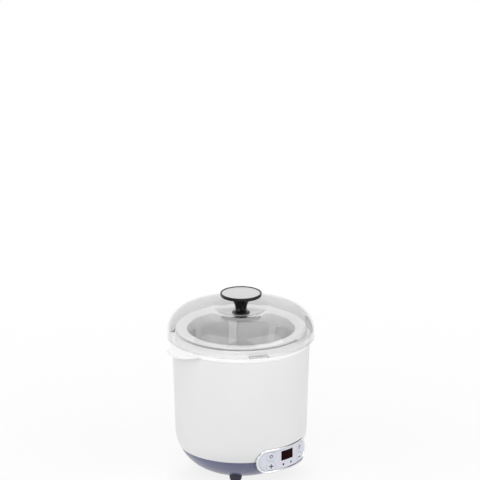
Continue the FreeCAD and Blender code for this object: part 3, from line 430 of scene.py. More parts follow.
# %% Plastics of the body
WHITE = {"grain": 700.0, "bump": 0.02, "marks": 0.03, "drift": 9.0}
BUTTON_GREY = {"tone": (0.70, 0.71, 0.79), "deep": (0.685, 0.695, 0.775), "rough": (0.28, 0.34)}
MILKY = {"Subsurface_Weight": 0.7, "Subsurface_Radius": (1.0, 1.0, 1.0), "Subsurface_Scale": 0.010}
keep_finish("white_plastic", tone=(0.79, 0.79, 0.79), deep=(0.78, 0.78, 0.782), rough=(0.29, 0.32),
            **WHITE)
# Painted light: the liner is the body's white made lighter, so that its hollow well, where little light
# reaches, still reads bright.
keep_finish("liner_white", tone=(0.92, 0.92, 0.92), deep=(0.914, 0.914, 0.915), rough=(0.30, 0.33),
            **WHITE)
# Partly painted light: the tub's white is set lighter than the body's, so that its hollow inside reads bright
# where little light reaches it; the subsurface share is its real milky translucency.
keep_finish("container_white", tone=(0.912, 0.912, 0.91), deep=(0.905, 0.905, 0.905), rough=(0.34, 0.38),
            **MILKY, **WHITE)
# Painted shade: the basket's white is set darker than the other whites, standing in for the shadow of the
# clear lid, which casts none, and holding down the lamps' glare on its upturned rim.
keep_finish("basket_white", tone=(0.75, 0.75, 0.752), deep=(0.74, 0.74, 0.744), rough=(0.34, 0.4),
            **{**MILKY, "Subsurface_Weight": 0.4, "Subsurface_Scale": 0.008}, **WHITE)
keep_finish("tray_blue", tone=(0.124, 0.131, 0.232), deep=(0.117, 0.123, 0.219), rough=(0.29, 0.34),
            Coat_Weight=0.3, Coat_Roughness=0.1)
keep_finish("panel_grey", tone=(0.68, 0.69, 0.77), deep=(0.665, 0.675, 0.755), rough=(0.3, 0.36))
keep_finish("button_grey", **BUTTON_GREY)
keep_finish("knob_black", tone=(0.006, 0.006, 0.007), deep=(0.009, 0.009, 0.01), rough=(0.16, 0.22),
            marks=0.06, Specular_IOR_Level=0.28)
keep_finish("display_dark", tone=(0.008, 0.0016, 0.002), deep=(0.011, 0.002, 0.0026), rough=(0.3, 0.4),
            bump=0.0, marks=0.02, Specular_IOR_Level=0.02)
keep_finish("indicator_dark", tone=(0.004, 0.0015, 0.002), deep=(0.006, 0.002, 0.0026), rough=(0.3, 0.4),
            Specular_IOR_Level=0.05)
keep_finish("foot_rubber", tone=(0.018, 0.02, 0.032), deep=(0.026, 0.028, 0.042), rough=(0.6, 0.75),
            grain=1400.0, bump=0.15)
keep_finish("gland_black", tone=(0.014, 0.014, 0.015), deep=(0.022, 0.022, 0.023), rough=(0.55, 0.7),
            grain=1400.0, bump=0.12)
keep_finish("washer_silicone", tone=(0.6, 0.6, 0.59), deep=(0.55, 0.55, 0.54), rough=(0.45, 0.6))
print("body plastics", len(FINISHES))

# %% Metals and the pieces inside
METAL = {"Metallic": 1.0}
keep_finish("bezel_chrome", tone=(0.80, 0.81, 0.84), deep=(0.76, 0.77, 0.81), rough=(0.06, 0.12),
            bump=0.005, marks=0.06, **METAL)
keep_finish("cap_silver", tone=(0.70, 0.70, 0.71), deep=(0.65, 0.65, 0.66), rough=(0.29, 0.36), **METAL)
keep_finish("screw_steel", tone=(0.55, 0.55, 0.56), deep=(0.46, 0.46, 0.48), rough=(0.3, 0.42), **METAL)
keep_finish("strap_steel", tone=(0.52, 0.52, 0.53), deep=(0.45, 0.45, 0.47), rough=(0.34, 0.46), **METAL)
keep_finish("plate_aluminium", tone=(0.72, 0.73, 0.74), deep=(0.64, 0.65, 0.66), rough=(0.3, 0.42), **METAL)
keep_finish("fuse_case", tone=(0.62, 0.60, 0.56), deep=(0.52, 0.5, 0.47), rough=(0.3, 0.45), **METAL)
keep_finish("board_green", tone=(0.03, 0.16, 0.07), deep=(0.02, 0.11, 0.05), rough=(0.35, 0.5), drift=60.0)
keep_finish("module_grey", tone=(0.08, 0.08, 0.085), deep=(0.06, 0.06, 0.065), rough=(0.4, 0.55))
keep_finish("switch_black", tone=(0.02, 0.02, 0.022), deep=(0.03, 0.03, 0.032), rough=(0.4, 0.55))
keep_finish("element_mica", tone=(0.30, 0.2, 0.11), deep=(0.22, 0.14, 0.07), rough=(0.5, 0.7), drift=80.0)
keep_finish("sensor_resin", tone=(0.03, 0.03, 0.033), deep=(0.045, 0.045, 0.048), rough=(0.4, 0.6))
keep_finish("relay_blue", tone=(0.02, 0.05, 0.26), deep=(0.015, 0.04, 0.2), rough=(0.25, 0.4))
keep_finish("capacitor_yellow", tone=(0.6, 0.38, 0.03), deep=(0.52, 0.32, 0.025), rough=(0.25, 0.4))
keep_finish("terminal_white", tone=(0.7, 0.7, 0.66), deep=(0.64, 0.64, 0.6), rough=(0.35, 0.5))
keep_finish("can_black", tone=(0.02, 0.02, 0.025), deep=(0.03, 0.03, 0.036), rough=(0.25, 0.4))
keep_finish("lead_sleeve", tone=(0.68, 0.62, 0.5), deep=(0.6, 0.54, 0.42), rough=(0.6, 0.8),
            grain=2500.0, bump=0.3)
keep_finish("ribbon_grey", tone=(0.34, 0.34, 0.36), deep=(0.3, 0.3, 0.32), rough=(0.4, 0.55))
print("all finishes", len(FINISHES))

# %% [markdown]
# ## Clear lid and gauze
# The lid is clear plastic with a light smoke in it: light passes straight
# through, so its finish is transmission with a slightly grey colour. The gauze
# is woven nylon, far too fine to model thread by thread at this size, so its
# threads are drawn on the sheet's own UV map, in metres, and the holes between
# them are left open through the alpha.

# %% Lid finish
def make_lid_finish():
    material, tree, shader = new_material(
        "lid_clear", Transmission_Weight=1.0, IOR=1.49, Metallic=0.0)
    place = add_node(tree, "ShaderNodeTexCoord").outputs["Object"]
    smoke = use_group(tree, TONE, place, Colour=rgb(0.74, 0.74, 0.74),
                      Deep=rgb(0.725, 0.725, 0.725), Amount=1.0)
    surface = use_group(tree, GRAIN, place, Size=300.0, Rough_low=0.0, Rough_high=0.02)
    lines = use_group(tree, HAIRLINES, place, Amount=0.05)
    link(tree, smoke.outputs["Colour"], shader.inputs["Base Color"])
    wear(tree, shader, surface, lines)
    return material


FINISHES["lid_clear"] = make_lid_finish()
print("lid finish ready")

# %% Woven threads
def make_weave_group():
    tree, enter, leave = new_group(
        "woven_threads",
        [("Vector", VECTOR, None), ("Pitch", FLOAT, 0.0006), ("Thread", FLOAT, 0.2)],
        [("Mask", FLOAT), ("Height", FLOAT)],
    )
    count = add_node(tree, "ShaderNodeVectorMath", {"operation": "DIVIDE"})
    cell = add_node(tree, "ShaderNodeVectorMath", {"operation": "FRACTION"})
    centre = add_node(tree, "ShaderNodeVectorMath", {"operation": "SUBTRACT"})
    centre.inputs[1].default_value = (0.5, 0.5, 0.5)
    away = add_node(tree, "ShaderNodeVectorMath", {"operation": "ABSOLUTE"})
    parts = add_node(tree, "ShaderNodeSeparateXYZ")
    nearest = add_node(tree, "ShaderNodeMath", {"operation": "MINIMUM"})
    half = add_node(tree, "ShaderNodeMath", {"operation": "MULTIPLY"})
    half.inputs[1].default_value = 0.5
    inside = add_node(tree, "ShaderNodeMath", {"operation": "LESS_THAN"})
    round_off = add_node(tree, "ShaderNodeMapRange", From_Min=0.0, To_Min=1.0, To_Max=0.0)
    link(tree, enter.outputs["Vector"], count.inputs[0])
    link(tree, enter.outputs["Pitch"], count.inputs[1])
    link(tree, count.outputs[0], cell.inputs[0])
    link(tree, cell.outputs[0], centre.inputs[0])
    link(tree, centre.outputs[0], away.inputs[0])
    link(tree, away.outputs[0], parts.inputs[0])
    link(tree, parts.outputs["X"], nearest.inputs[0])
    link(tree, parts.outputs["Y"], nearest.inputs[1])
    link(tree, enter.outputs["Thread"], half.inputs[0])
    link(tree, nearest.outputs[0], inside.inputs[0])
    link(tree, half.outputs[0], inside.inputs[1])
    link(tree, nearest.outputs[0], round_off.inputs["Value"])
    link(tree, half.outputs[0], round_off.inputs["From Max"])
    link(tree, inside.outputs[0], leave.inputs["Mask"])
    link(tree, round_off.outputs["Result"], leave.inputs["Height"])
    return tree


WEAVE = make_weave_group()
print("weave group:", WEAVE.name)

# %% Gauze finish
GAUZE_PITCH = 0.0006
GAUZE_THREAD = 0.13


def make_gauze_finish():
    material, tree, shader = new_material("gauze", Roughness=0.5)
    place = add_node(tree, "ShaderNodeTexCoord")
    tone = use_group(tree, TONE, place.outputs["Object"], Colour=rgb(0.80, 0.80, 0.805),
                     Deep=rgb(0.78, 0.78, 0.79), Size=25.0, Amount=1.0)
    threads = use_group(tree, WEAVE, place.outputs["UV"], Pitch=GAUZE_PITCH, Thread=GAUZE_THREAD)
    relief = add_node(tree, "ShaderNodeBump", Strength=0.4, Distance=0.00005)
    link(tree, tone.outputs["Colour"], shader.inputs["Base Color"])
    link(tree, threads.outputs["Mask"], shader.inputs["Alpha"])
    link(tree, threads.outputs["Height"], relief.inputs["Height"])
    link(tree, relief.outputs["Normal"], shader.inputs["Normal"])
    return material


FINISHES["gauze"] = make_gauze_finish()
print("gauze finish ready")

# %% Dress every CAD node in its slot's finish
for subpart in frame["record"]["subparts"]:
    node = frame["nodes"][subpart["node"]]
    node.data.materials.clear()
    node.data.materials.append(FINISHES[subpart["material_slot"]])
print("nodes dressed", len(frame["nodes"]))

# %% [markdown]
# ## Turned pieces
# Most of this machine is round, so most pieces are an outline spun about the
# upright axis. Blender's Spin or Screw tools could do that, but a short lathe
# of our own gives even quads, closed poles and outward faces. The outline
# is written as a list of steps in millimetres: (radius, height) is reached by
# a straight line, (radius, height, bend, side) by an arc that turns to that
# side, so small edge rounds catch the light as on a real moulding.

# %% Outline and lathe helpers
def arc_between(start, end, bend, side, step=6.0):
    start, end = Vector(start), Vector(end)
    chord = end - start
    rise = math.sqrt(max(bend ** 2 - chord.length_squared / 4, 0.0))
    normal = Vector((-chord.y, chord.x)).normalized()
    centre = (start + end) / 2 + normal * (rise if side == "left" else -rise)
    first = math.atan2(*reversed(start - centre))
    turn = math.atan2(*reversed(end - centre)) - first
    turn = turn % math.tau if side == "left" else -(-turn % math.tau)
    count = max(3, round(abs(math.degrees(turn)) / step))
    angles = [first + turn * number / count for number in range(1, count + 1)]
    return [(centre.x + bend * math.cos(a), centre.y + bend * math.sin(a)) for a in angles]


def trace(steps):
    line = [] if len(steps[0]) == 4 else [steps[0]]
    for before, here in zip([steps[-1]] + steps[:-1], steps):
        if len(here) == 4:
            line += arc_between(before[:2], here[:2], here[2], here[3])
        elif here is not steps[0]:
            line.append(here)
    return line


def spin(line, sides=192, ring=False):
    points, rows, faces = [], [], []
    for radius, height in line:
        count = 1 if radius < 1e-6 else sides
        rows.append([len(points) + number for number in range(count)])
        for number in range(count):
            turn = math.tau * number / sides
            points.append((radius * math.cos(turn), radius * math.sin(turn), height))
    follow = rows[1:] + rows[:1] if ring else rows[1:]
    for low, high in zip(rows, follow):
        for number in range(sides):
            after = (number + 1) % sides
            corners = [low[number % len(low)], low[after % len(low)],
                       high[after % len(high)], high[number % len(high)]]
            face = list(dict.fromkeys(corners))
            if len(face) > 2:
                faces.append(face)
    return points, faces


print("lathe ready")

# %% Piece helpers
def new_piece(name, points, faces, crease=35.0, recalculate=False):
    mesh = bpy.data.meshes.new(name)
    mesh.from_pydata([Vector(point) * MM for point in points], [], faces)
    if recalculate:
        shape = bmesh.new()
        shape.from_mesh(mesh)
        bmesh.ops.remove_doubles(shape, verts=shape.verts, dist=1e-7)
        bmesh.ops.recalc_face_normals(shape, faces=shape.faces)
        shape.to_mesh(mesh)
        shape.free()
    mesh.shade_smooth()
    mesh.set_sharp_from_angle(angle=math.radians(crease))
    piece = bpy.data.objects.new(name, mesh)
    scene.collection.objects.link(piece)
    return piece


def settle(piece, crease=35.0):
    graph = bpy.context.evaluated_depsgraph_get()
    mesh = bpy.data.meshes.new_from_object(piece.evaluated_get(graph))
    piece.modifiers.clear()
    piece.data = mesh
    mesh.shade_smooth()
    mesh.set_sharp_from_angle(angle=math.radians(crease))
    return piece


def hand_over(piece, body, slot, *nodes):
    if not piece.data.materials:
        piece.data.materials.append(FINISHES[slot])
    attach(piece, body)
    if nodes:
        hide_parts(*nodes)
    print(f"{piece.name}: {len(piece.data.polygons)} faces on {body}")
    return piece


print("pieces can be made and handed over")

# %% [markdown]
# ## Repeats by rule
# Rests, windows, floor holes, feet and lugs repeat by simple rules. Each could
# be copied by hand, but Geometry Nodes keep the rule itself: one group turns
# copies of a shape about the upright axis, the other adds its mirror image
# on the other side. Their inputs are named and set before they first run, and
# the result is turned into a plain mesh.

# %% Geometry Nodes rules
GEOMETRY = "NodeSocketGeometry"


def new_rule(name, inputs):
    tree = bpy.data.node_groups.new(name, "GeometryNodeTree")
    tree.interface.new_socket("Geometry", in_out="INPUT", socket_type=GEOMETRY)
    for label, kind, value in inputs:
        socket = tree.interface.new_socket(label, in_out="INPUT", socket_type=kind)
        if value is not None:
            socket.default_value = value
    tree.interface.new_socket("Geometry", in_out="OUTPUT", socket_type=GEOMETRY)
    return tree, tree.nodes.new("NodeGroupInput"), tree.nodes.new("NodeGroupOutput")


def close_rule(tree, enter, leave, shape):
    real = add_node(tree, "GeometryNodeRealizeInstances")
    paint = add_node(tree, "GeometryNodeSetMaterial")
    link(tree, shape, real.inputs["Geometry"])
    link(tree, real.outputs["Geometry"], paint.inputs["Geometry"])
    link(tree, enter.outputs["Material"], paint.inputs["Material"])
    link(tree, paint.outputs["Geometry"], leave.inputs["Geometry"])
    return tree


# Ring array: copies turned about the upright axis
def make_ring_array():
    tree, enter, leave = new_rule("ring_array", [
        ("Count", "NodeSocketInt", 8), ("First turn", FLOAT, 0.0), ("Material", "NodeSocketMaterial", None)])
    spots = add_node(tree, "GeometryNodePoints")
    number = add_node(tree, "GeometryNodeInputIndex")
    share = add_node(tree, "ShaderNodeMath", {"operation": "DIVIDE"})
    turn = add_node(tree, "ShaderNodeMath", {"operation": "MULTIPLY_ADD"})
    turn.inputs[1].default_value = math.tau
    angles = add_node(tree, "ShaderNodeCombineXYZ")
    rotation = add_node(tree, "FunctionNodeEulerToRotation")
    copies = add_node(tree, "GeometryNodeInstanceOnPoints")
    link(tree, enter.outputs["Count"], spots.inputs["Count"])
    link(tree, number.outputs["Index"], share.inputs[0])
    link(tree, enter.outputs["Count"], share.inputs[1])
    link(tree, share.outputs[0], turn.inputs[0])
    link(tree, enter.outputs["First turn"], turn.inputs[2])
    link(tree, turn.outputs[0], angles.inputs["Z"])
    link(tree, angles.outputs[0], rotation.inputs[0])
    link(tree, spots.outputs[0], copies.inputs["Points"])
    link(tree, enter.outputs["Geometry"], copies.inputs["Instance"])
    link(tree, rotation.outputs[0], copies.inputs["Rotation"])
    return close_rule(tree, enter, leave, copies.outputs["Instances"])


# Mirrored pair: the shape and its image on the other side
def make_mirrored_pair():
    tree, enter, leave = new_rule("mirrored_pair", [
        ("Scale", VECTOR, (-1.0, 1.0, 1.0)), ("Material", "NodeSocketMaterial", None)])
    image = add_node(tree, "GeometryNodeTransform")
    flip = add_node(tree, "GeometryNodeFlipFaces")
    pair = add_node(tree, "GeometryNodeJoinGeometry")
    link(tree, enter.outputs["Geometry"], image.inputs["Geometry"])
    link(tree, enter.outputs["Scale"], image.inputs["Scale"])
    link(tree, image.outputs["Geometry"], flip.inputs["Mesh"])
    link(tree, enter.outputs["Geometry"], pair.inputs["Geometry"])
    link(tree, flip.outputs["Mesh"], pair.inputs["Geometry"])
    return close_rule(tree, enter, leave, pair.outputs["Geometry"])


RING_ARRAY = make_ring_array()
MIRRORED_PAIR = make_mirrored_pair()
print("rules:", RING_ARRAY.name, MIRRORED_PAIR.name)

# %% Apply a rule or a cut
def apply_rule(piece, rule, **values):
    modifier = piece.modifiers.new(rule.name, "NODES")
    modifier.node_group = rule
    for item in rule.interface.items_tree:
        label = item.name.replace(" ", "_")
        if item.in_out == "INPUT" and label in values:
            modifier[item.identifier] = values[label]
    return settle(piece)


def combine(piece, tool, kind="DIFFERENCE"):
    change = piece.modifiers.new("combine", "BOOLEAN")
    change.operation = kind
    change.object = tool
    change.solver = "EXACT"
    return settle(piece)


def tube_faces(rows, total, closed=False):
    faces = []
    for row in range(rows if closed else rows - 1):
        low, high = row * total, (row + 1) % rows * total
        for spot in range(total):
            after = (spot + 1) % total
            faces.append([low + spot, low + after, high + after, high + spot])
    if not closed:
        faces.append([(rows - 1) * total + spot for spot in range(total)])
        faces.append(list(reversed(range(total))))
    return faces


def slab(line, low, high, bend, count=5):
    quarter = [math.pi / 2 * number / count for number in range(count + 1)]
    rows = [(bend * (1 - math.sin(a)), low + bend * (1 - math.cos(a))) for a in quarter]
    rows += [(bend * (1 - math.cos(a)), high - bend * (1 - math.sin(a))) for a in quarter]
    points = []
    for inset, height in rows:
        for before, here, after in zip(line[-1:] + line[:-1], line, line[1:] + line[:1]):
            along = (Vector(after) - Vector(before)).normalized()
            points.append((here[0] - along.y * inset, here[1] + along.x * inset, height))
    return points, tube_faces(len(rows), len(line))


def turned(points, degrees):
    turn = math.radians(degrees)
    return [(x * math.cos(turn) - y * math.sin(turn), x * math.sin(turn) + y * math.cos(turn), *rest)
            for x, y, *rest in points]


print("rules and cuts can be applied")

# %% [markdown]
# ## Lid
# The lid is one clear shell: a short upright skirt, a round shoulder, a gentle
# crown and a dished middle that the knob sits in. Inner and outer walls are
# both in the outline, because clear plastic shows its thickness at every edge.
# Three low rests inside the skirt stand on the base's flange. Clear plastic lets
# the lamps through, so the shell casts no shadow.

# %% Lid shell
LID_STEPS = [
    (84.2, 163.0), (85.0, 163.8, 0.8, "left"), (85.0, 170.0), (66.69, 194.09, 25.0, "left"),
    (38.0, 198.0, 107.17, "left"), (24.75, 194.65, 27.88, "left"), (11.5, 191.3, 27.88, "right"),
    (2.3, 191.3), (2.3, 189.0), (11.5, 189.0), (25.84, 192.63, 30.18, "left"),
    (38.0, 195.7, 25.58, "right"), (66.07, 191.87, 104.87, "right"), (82.7, 170.0, 22.7, "right"),
    (82.7, 163.6), (83.3, 163.0, 0.6, "left"),
]
lid_shell = new_piece("lid_shell", *spin(trace(LID_STEPS), ring=True))
print("lid turned", len(lid_shell.data.polygons), "faces")

# %% Low rests inside the skirt
REST_HALF_TURN = 8.0
REST_OUTER, REST_INNER = 83.2, 76.6
REST_LOW, REST_HIGH = 163.0, 165.0
rest_arc = [math.radians(REST_HALF_TURN * (number / 6 - 1)) for number in range(13)]
rest_line = [(REST_OUTER * math.cos(a), REST_OUTER * math.sin(a)) for a in rest_arc]
rest_line += [(REST_INNER * math.cos(a), REST_INNER * math.sin(a)) for a in reversed(rest_arc)]
rests = new_piece("lid_rests", *slab(rest_line, REST_LOW, REST_HIGH, 0.3, 2))
apply_rule(rests, RING_ARRAY, Count=3, Material=FINISHES["lid_clear"])
combine(lid_shell, rests, "UNION")
bpy.data.objects.remove(rests)
hand_over(lid_shell, "lid", "lid_clear", "lid_dome")
lid_shell.visible_shadow = False

# %% [markdown]
# ## Knob
# A black moulding flares from a thin stem into a wide button, and a bright
# spun disc is pressed into its top. Both could start as cylinders with bevels,
# but one outline on the lathe gives seat, stem, flare and lip in one go.

# %% Knob and its disc
KNOB_STEPS = [
    (0.0, 191.3), (10.1, 191.3), (10.4, 191.6, 0.3, "left"), (10.0, 192.3), (6.4, 193.77, 6.0, "right"),
    (6.7, 196.77), (12.8, 208.59, 15.3, "right"), (22.6, 211.4), (24.0, 212.8, 1.6, "left"),
    (24.0, 214.6), (23.2, 215.4, 0.8, "left"), (22.4, 215.4), (22.2, 215.2, 0.2, "left"),
    (22.2, 213.8), (0.0, 213.8),
]
DISC_STEPS = [
    (0.0, 213.8), (22.1, 213.8), (22.1, 214.6), (21.7, 214.86, 0.4, "left"), (12.0, 215.66, 204.0, "left"),
    (0.0, 216.0, 204.0, "left"),
]
hand_over(new_piece("knob_body", *spin(trace(KNOB_STEPS), 128)), "lid", "knob_black", "lid_knob")
hand_over(new_piece("knob_disc", *spin(trace(DISC_STEPS), 128)), "lid", "cap_silver", "knob_cap")

# %% [markdown]
# ## Tub
# The lift-out tub is a thin tapered pot with a rounded foot and a rolled lip.
# A Solidify modifier could thicken a single surface, but here both walls are
# in the outline, so that the lip can be thicker than the wall.

# %% Tub
TUB_STEPS = [
    (0.0, 31.0), (44.0, 31.0), (58.0, 45.0, 14.0, "left"), (66.6, 168.4), (70.4, 168.4),
    (71.6, 169.6, 1.2, "left"), (71.6, 169.8), (70.4, 171.0, 1.2, "left"), (66.0, 171.0),
    (64.8, 169.8, 1.2, "left"), (56.2, 45.0), (44.0, 32.8, 12.2, "right"), (0.0, 32.8),
]
hand_over(new_piece("tub", *spin(trace(TUB_STEPS))), "container", "container_white", "inner_container")

# %% [markdown]
# ## Strainer basket
# The basket is moulded around its gauze: a wide flat rim, eight posts that lean
# outwards, and a floor with four round openings. The frame is turned in one
# piece first, then the windows and openings are cut through it, which keeps
# the wall's curve true on every post.

# %% Basket windows
WINDOW_LOW, WINDOW_HIGH = 79.5, 162.0
WINDOW_HALF_LOW, WINDOW_HALF_HIGH = 17.05, 19.4
WINDOW_CORNER = 2.5
WINDOW_REACH = (78.0, 42.0)
FIRST_WINDOW = math.radians(-13.0)


def window_blocks(spare):
    bend = WINDOW_CORNER + spare
    low, high = WINDOW_LOW - spare, WINDOW_HIGH + spare
    narrow, wide = WINDOW_HALF_LOW + spare, WINDOW_HALF_HIGH + spare
    outline = trace([
        (narrow - bend, low), (narrow, low + bend, bend, "left"), (wide, high - bend),
        (wide - bend, high, bend, "left"), (bend - wide, high), (-wide, high - bend, bend, "left"),
        (-narrow, low + bend), (bend - narrow, low, bend, "left"),
    ])
    total = len(outline)
    points = [(x, -y, z) for y in WINDOW_REACH for x, z in outline]
    faces = [list(range(total)), list(reversed(range(total, 2 * total)))]
    faces += [[n, n + total, (n + 1) % total + total, (n + 1) % total] for n in range(total)]
    blocks = new_piece("window_blocks", points, faces, recalculate=True)
    return apply_rule(blocks, RING_ARRAY, Count=8, First_turn=FIRST_WINDOW,
                      Material=FINISHES["basket_white"])


print("eight windows from", WINDOW_LOW, "to", WINDOW_HIGH, "mm")


# %% Basket frame
BASKET_STEPS = [
    (0.0, 70.5), (49.63, 70.5), (57.63, 78.5, 8.0, "left"), (63.8, 169.5), (63.8, 171.0), (74.06, 171.0),
    (75.4, 172.34, 1.344, "left"), (75.4, 172.86), (74.06, 174.2, 1.344, "left"), (69.0, 174.2),
    (62.0, 172.44), (61.8, 168.0), (55.63, 78.5), (49.63, 72.5, 6.0, "right"), (0.0, 72.5),
]
basket = new_piece("basket_body", *spin(trace(BASKET_STEPS)))
windows = window_blocks(0.0)
combine(basket, windows)
bpy.data.objects.remove(windows)
HOLE_CIRCLE, HOLE_RADIUS = 32.5, 16.6
FIRST_HOLE = math.radians(-35.5)
hole_turns = [math.tau * number / 64 for number in range(64)]
hole_line = [(HOLE_CIRCLE + HOLE_RADIUS * math.cos(a), HOLE_RADIUS * math.sin(a)) for a in hole_turns]
holes = new_piece("floor_holes", *slab(hole_line, 66.0, 76.0, 0.2, 2))
apply_rule(holes, RING_ARRAY, Count=4, First_turn=FIRST_HOLE, Material=FINISHES["basket_white"])
combine(basket, holes)
bpy.data.objects.remove(holes)
hand_over(basket, "basket", "basket_white", "basket_frame")

# %% Finger tab on the basket's rim
TAB_TURN = -72.5
tab_line = trace([
    (70.0, -9.0), (76.0, -9.0), (78.0, -7.0, 2.0, "left"), (78.0, 7.0), (76.0, 9.0, 2.0, "left"), (70.0, 9.0),
])
tab_points, tab_faces = slab(tab_line, 171.4, 173.8, 0.8)
tab = new_piece("finger_tab", turned(tab_points, TAB_TURN), tab_faces)
hand_over(tab, "basket", "basket_white")

# %% Gauze in the windows and over the floor
GAUZE_RADIUS = 60.0


def lay_sheet(piece, flat):
    mesh = piece.data
    layer = mesh.uv_layers.new(name="sheet")
    for loop in mesh.loops:
        x, y, z = mesh.vertices[loop.vertex_index].co
        if flat:
            layer.data[loop.index].uv = (x, y)
        else:
            layer.data[loop.index].uv = (math.atan2(x, -y) * GAUZE_RADIUS * MM, z)


sleeve = [(56.47, 78.0), (56.97, 78.0), (62.81, 164.0), (62.31, 164.0)]
gauze_side = new_piece("gauze_side", *spin(sleeve, ring=True))
windows = window_blocks(0.3)
combine(gauze_side, windows, "INTERSECT")
bpy.data.objects.remove(windows)
gauze_side.data.materials.clear()
lay_sheet(gauze_side, flat=False)
hand_over(gauze_side, "basket", "gauze", "basket_gauze_side")
floor_steps = [(12.9, 72.52), (49.6, 72.52), (49.6, 73.0), (12.9, 73.0)]
gauze_floor = new_piece("gauze_floor", *spin(floor_steps, 128, ring=True))
lay_sheet(gauze_floor, flat=True)
hand_over(gauze_floor, "basket", "gauze", "basket_gauze_floor")

# %% [markdown]
# ## Base
# Three mouldings make the outside of the base. The liner is the well that the
# tub stands in, with the raised rim and the flange around it. The outer wall
# hangs under the flange, and the coloured tray closes the base from below.
# Each edge where two of them meet has a small round, which makes the fine
# parting lines that show in the photograph.

# %% Liner
LINER_STEPS = [
    (0.0, 29.0), (45.2, 29.0), (63.2, 47.0, 18.0, "left"), (71.8, 153.0), (76.5, 153.0), (76.5, 157.0),
    (79.4, 157.0), (80.0, 157.6, 0.6, "left"), (80.0, 161.4), (78.4, 163.0, 1.6, "left"), (76.3, 163.0),
    (76.0, 163.3, 0.3, "right"), (76.0, 168.7), (74.7, 170.0, 1.3, "left"), (74.1, 170.0),
    (72.8, 168.7, 1.3, "left"), (72.8, 161.0), (69.8, 158.0), (61.2, 47.0), (45.2, 31.0, 16.0, "right"),
    (0.0, 31.0),
]
liner = new_piece("liner_well", *spin(trace(LINER_STEPS), 256))
hand_over(liner, "base", "liner_white", "liner")

# %% Carrying lugs
LUG_SETBACK = 8.0
lug_line = trace([
    (73.69, -30.1), (81.53, -23.09, 12.0, "right"), (81.53, 23.09, 24.0, "left"),
    (73.69, 30.1, 12.0, "right"), (70.0, 26.0), (74.0, 0.0), (70.0, -26.0),
])
lug_points, lug_faces = slab(lug_line, 157.5, 161.5, 1.4)
lugs = new_piece("carrying_lugs", turned(lug_points, LUG_SETBACK), lug_faces)
apply_rule(lugs, MIRRORED_PAIR, Material=FINISHES["liner_white"])
hand_over(lugs, "base", "liner_white")

# %% Outer wall and tray outlines
BOWL_RADIUS = 26.4
BOWL_HEIGHT = 53.0
SEAM = 33.0


def bowl_at(bend, height):
    return BOWL_RADIUS + math.sqrt(bend ** 2 - (BOWL_HEIGHT - height) ** 2)


WALL_STEPS = [
    (bowl_at(47.5, SEAM), SEAM, 47.5, "right"), (bowl_at(50.0, SEAM) - 0.7, SEAM),
    (bowl_at(50.0, SEAM + 0.7), SEAM + 0.7, 0.8, "left"), (76.4, BOWL_HEIGHT, 50.0, "left"),
    (79.4, 156.3), (78.7, 157.0, 0.7, "left"), (76.9, 157.0), (73.9, BOWL_HEIGHT),
]
TRAY_STEPS = [
    (0.0, 3.4), (BOWL_RADIUS, 3.4), (bowl_at(49.6, SEAM - 0.7), SEAM - 0.7, 49.6, "left"),
    (bowl_at(49.6, SEAM) - 0.7, SEAM, 0.8, "left"), (bowl_at(47.1, SEAM), SEAM),
    (BOWL_RADIUS, 5.9, 47.1, "right"), (0.0, 5.9),
]
outer_wall = new_piece("outer_wall", *spin(trace(WALL_STEPS), 256, ring=True))
tray = new_piece("bowl_tray", *spin(trace(TRAY_STEPS), 256))
print("outer wall and tray turned")

# %% [markdown]
# ## Control panel
# The panel is a band with round ends, wrapped on an upright cylinder about the
# machine's axis. A point of it is given by its turn from the front and its
# height, so a sweep of the bezel's section along the band keeps its walls
# pointing at the axis, as in the CAD model.

# %% Wrapped band
PANEL_HEIGHT = 33.5
PANEL_FACE = 76.96
PANEL_HALF = 14.6
PANEL_END = math.radians(20.0)


def wrap(radius, turn, height):
    return (radius * math.sin(turn), -radius * math.cos(turn), PANEL_HEIGHT + height)


def band_path(straight=28, cap=28):
    path = [(PANEL_END - 2 * PANEL_END * n / straight, math.pi / 2) for n in range(straight)]
    path += [(-PANEL_END, math.pi / 2 + math.pi * n / cap) for n in range(cap)]
    path += [(2 * PANEL_END * n / straight - PANEL_END, -math.pi / 2) for n in range(straight)]
    path += [(PANEL_END, math.pi * n / cap - math.pi / 2) for n in range(cap)]
    return path


def sweep_band(section):
    points, path = [], band_path()
    for turn, lean in path:
        for radius, half in section:
            aside = math.asin(half * math.cos(lean) / radius)
            points.append(wrap(radius, turn + aside, half * math.sin(lean)))
    return points, tube_faces(len(path), len(section), closed=True)


def band_block(inner, outer, half):
    points = sweep_band([(inner, half), (outer, half)])[0]
    count = len(points) // 2
    side = [[2 * n, 2 * n + 1, 2 * ((n + 1) % count) + 1, 2 * ((n + 1) % count)] for n in range(count)]
    return points, side + [[2 * n for n in range(count)], [2 * n + 1 for n in range(count)]]


print("band of", len(band_path()), "stations")

# %% Cut the opening in wall and tray
OPENING_PLAY = 0.3
cutter = new_piece("opening_cutter", *band_block(58.0, 86.0, PANEL_HALF + OPENING_PLAY), recalculate=True)
for piece in (outer_wall, tray):
    combine(piece, cutter)
bpy.data.objects.remove(cutter)
hand_over(outer_wall, "base", "white_plastic", "outer_shell")

# %% Gland collar at the rear of the tray
GLAND_HEIGHT = 17.0
BORE = 5.1


def to_rear(points):
    return [(x, z, GLAND_HEIGHT - y) for x, y, z in points]


bore_points, bore_faces = spin([(0.0, 44.0), (BORE, 44.0), (BORE, 76.0), (0.0, 76.0)], 48)
bore = new_piece("gland_bore", to_rear(bore_points), bore_faces)
combine(tray, bore)
bpy.data.objects.remove(bore)
hand_over(tray, "base", "tray_blue", "base_tray")
collar_steps = trace([(BORE, 50.0), (8.0, 50.0), (8.0, 67.4), (7.4, 68.0, 0.6, "left"), (BORE, 68.0)])
collar_points, collar_faces = spin(collar_steps, 64, ring=True)
hand_over(new_piece("gland_collar", to_rear(collar_points), collar_faces), "base", "tray_blue")

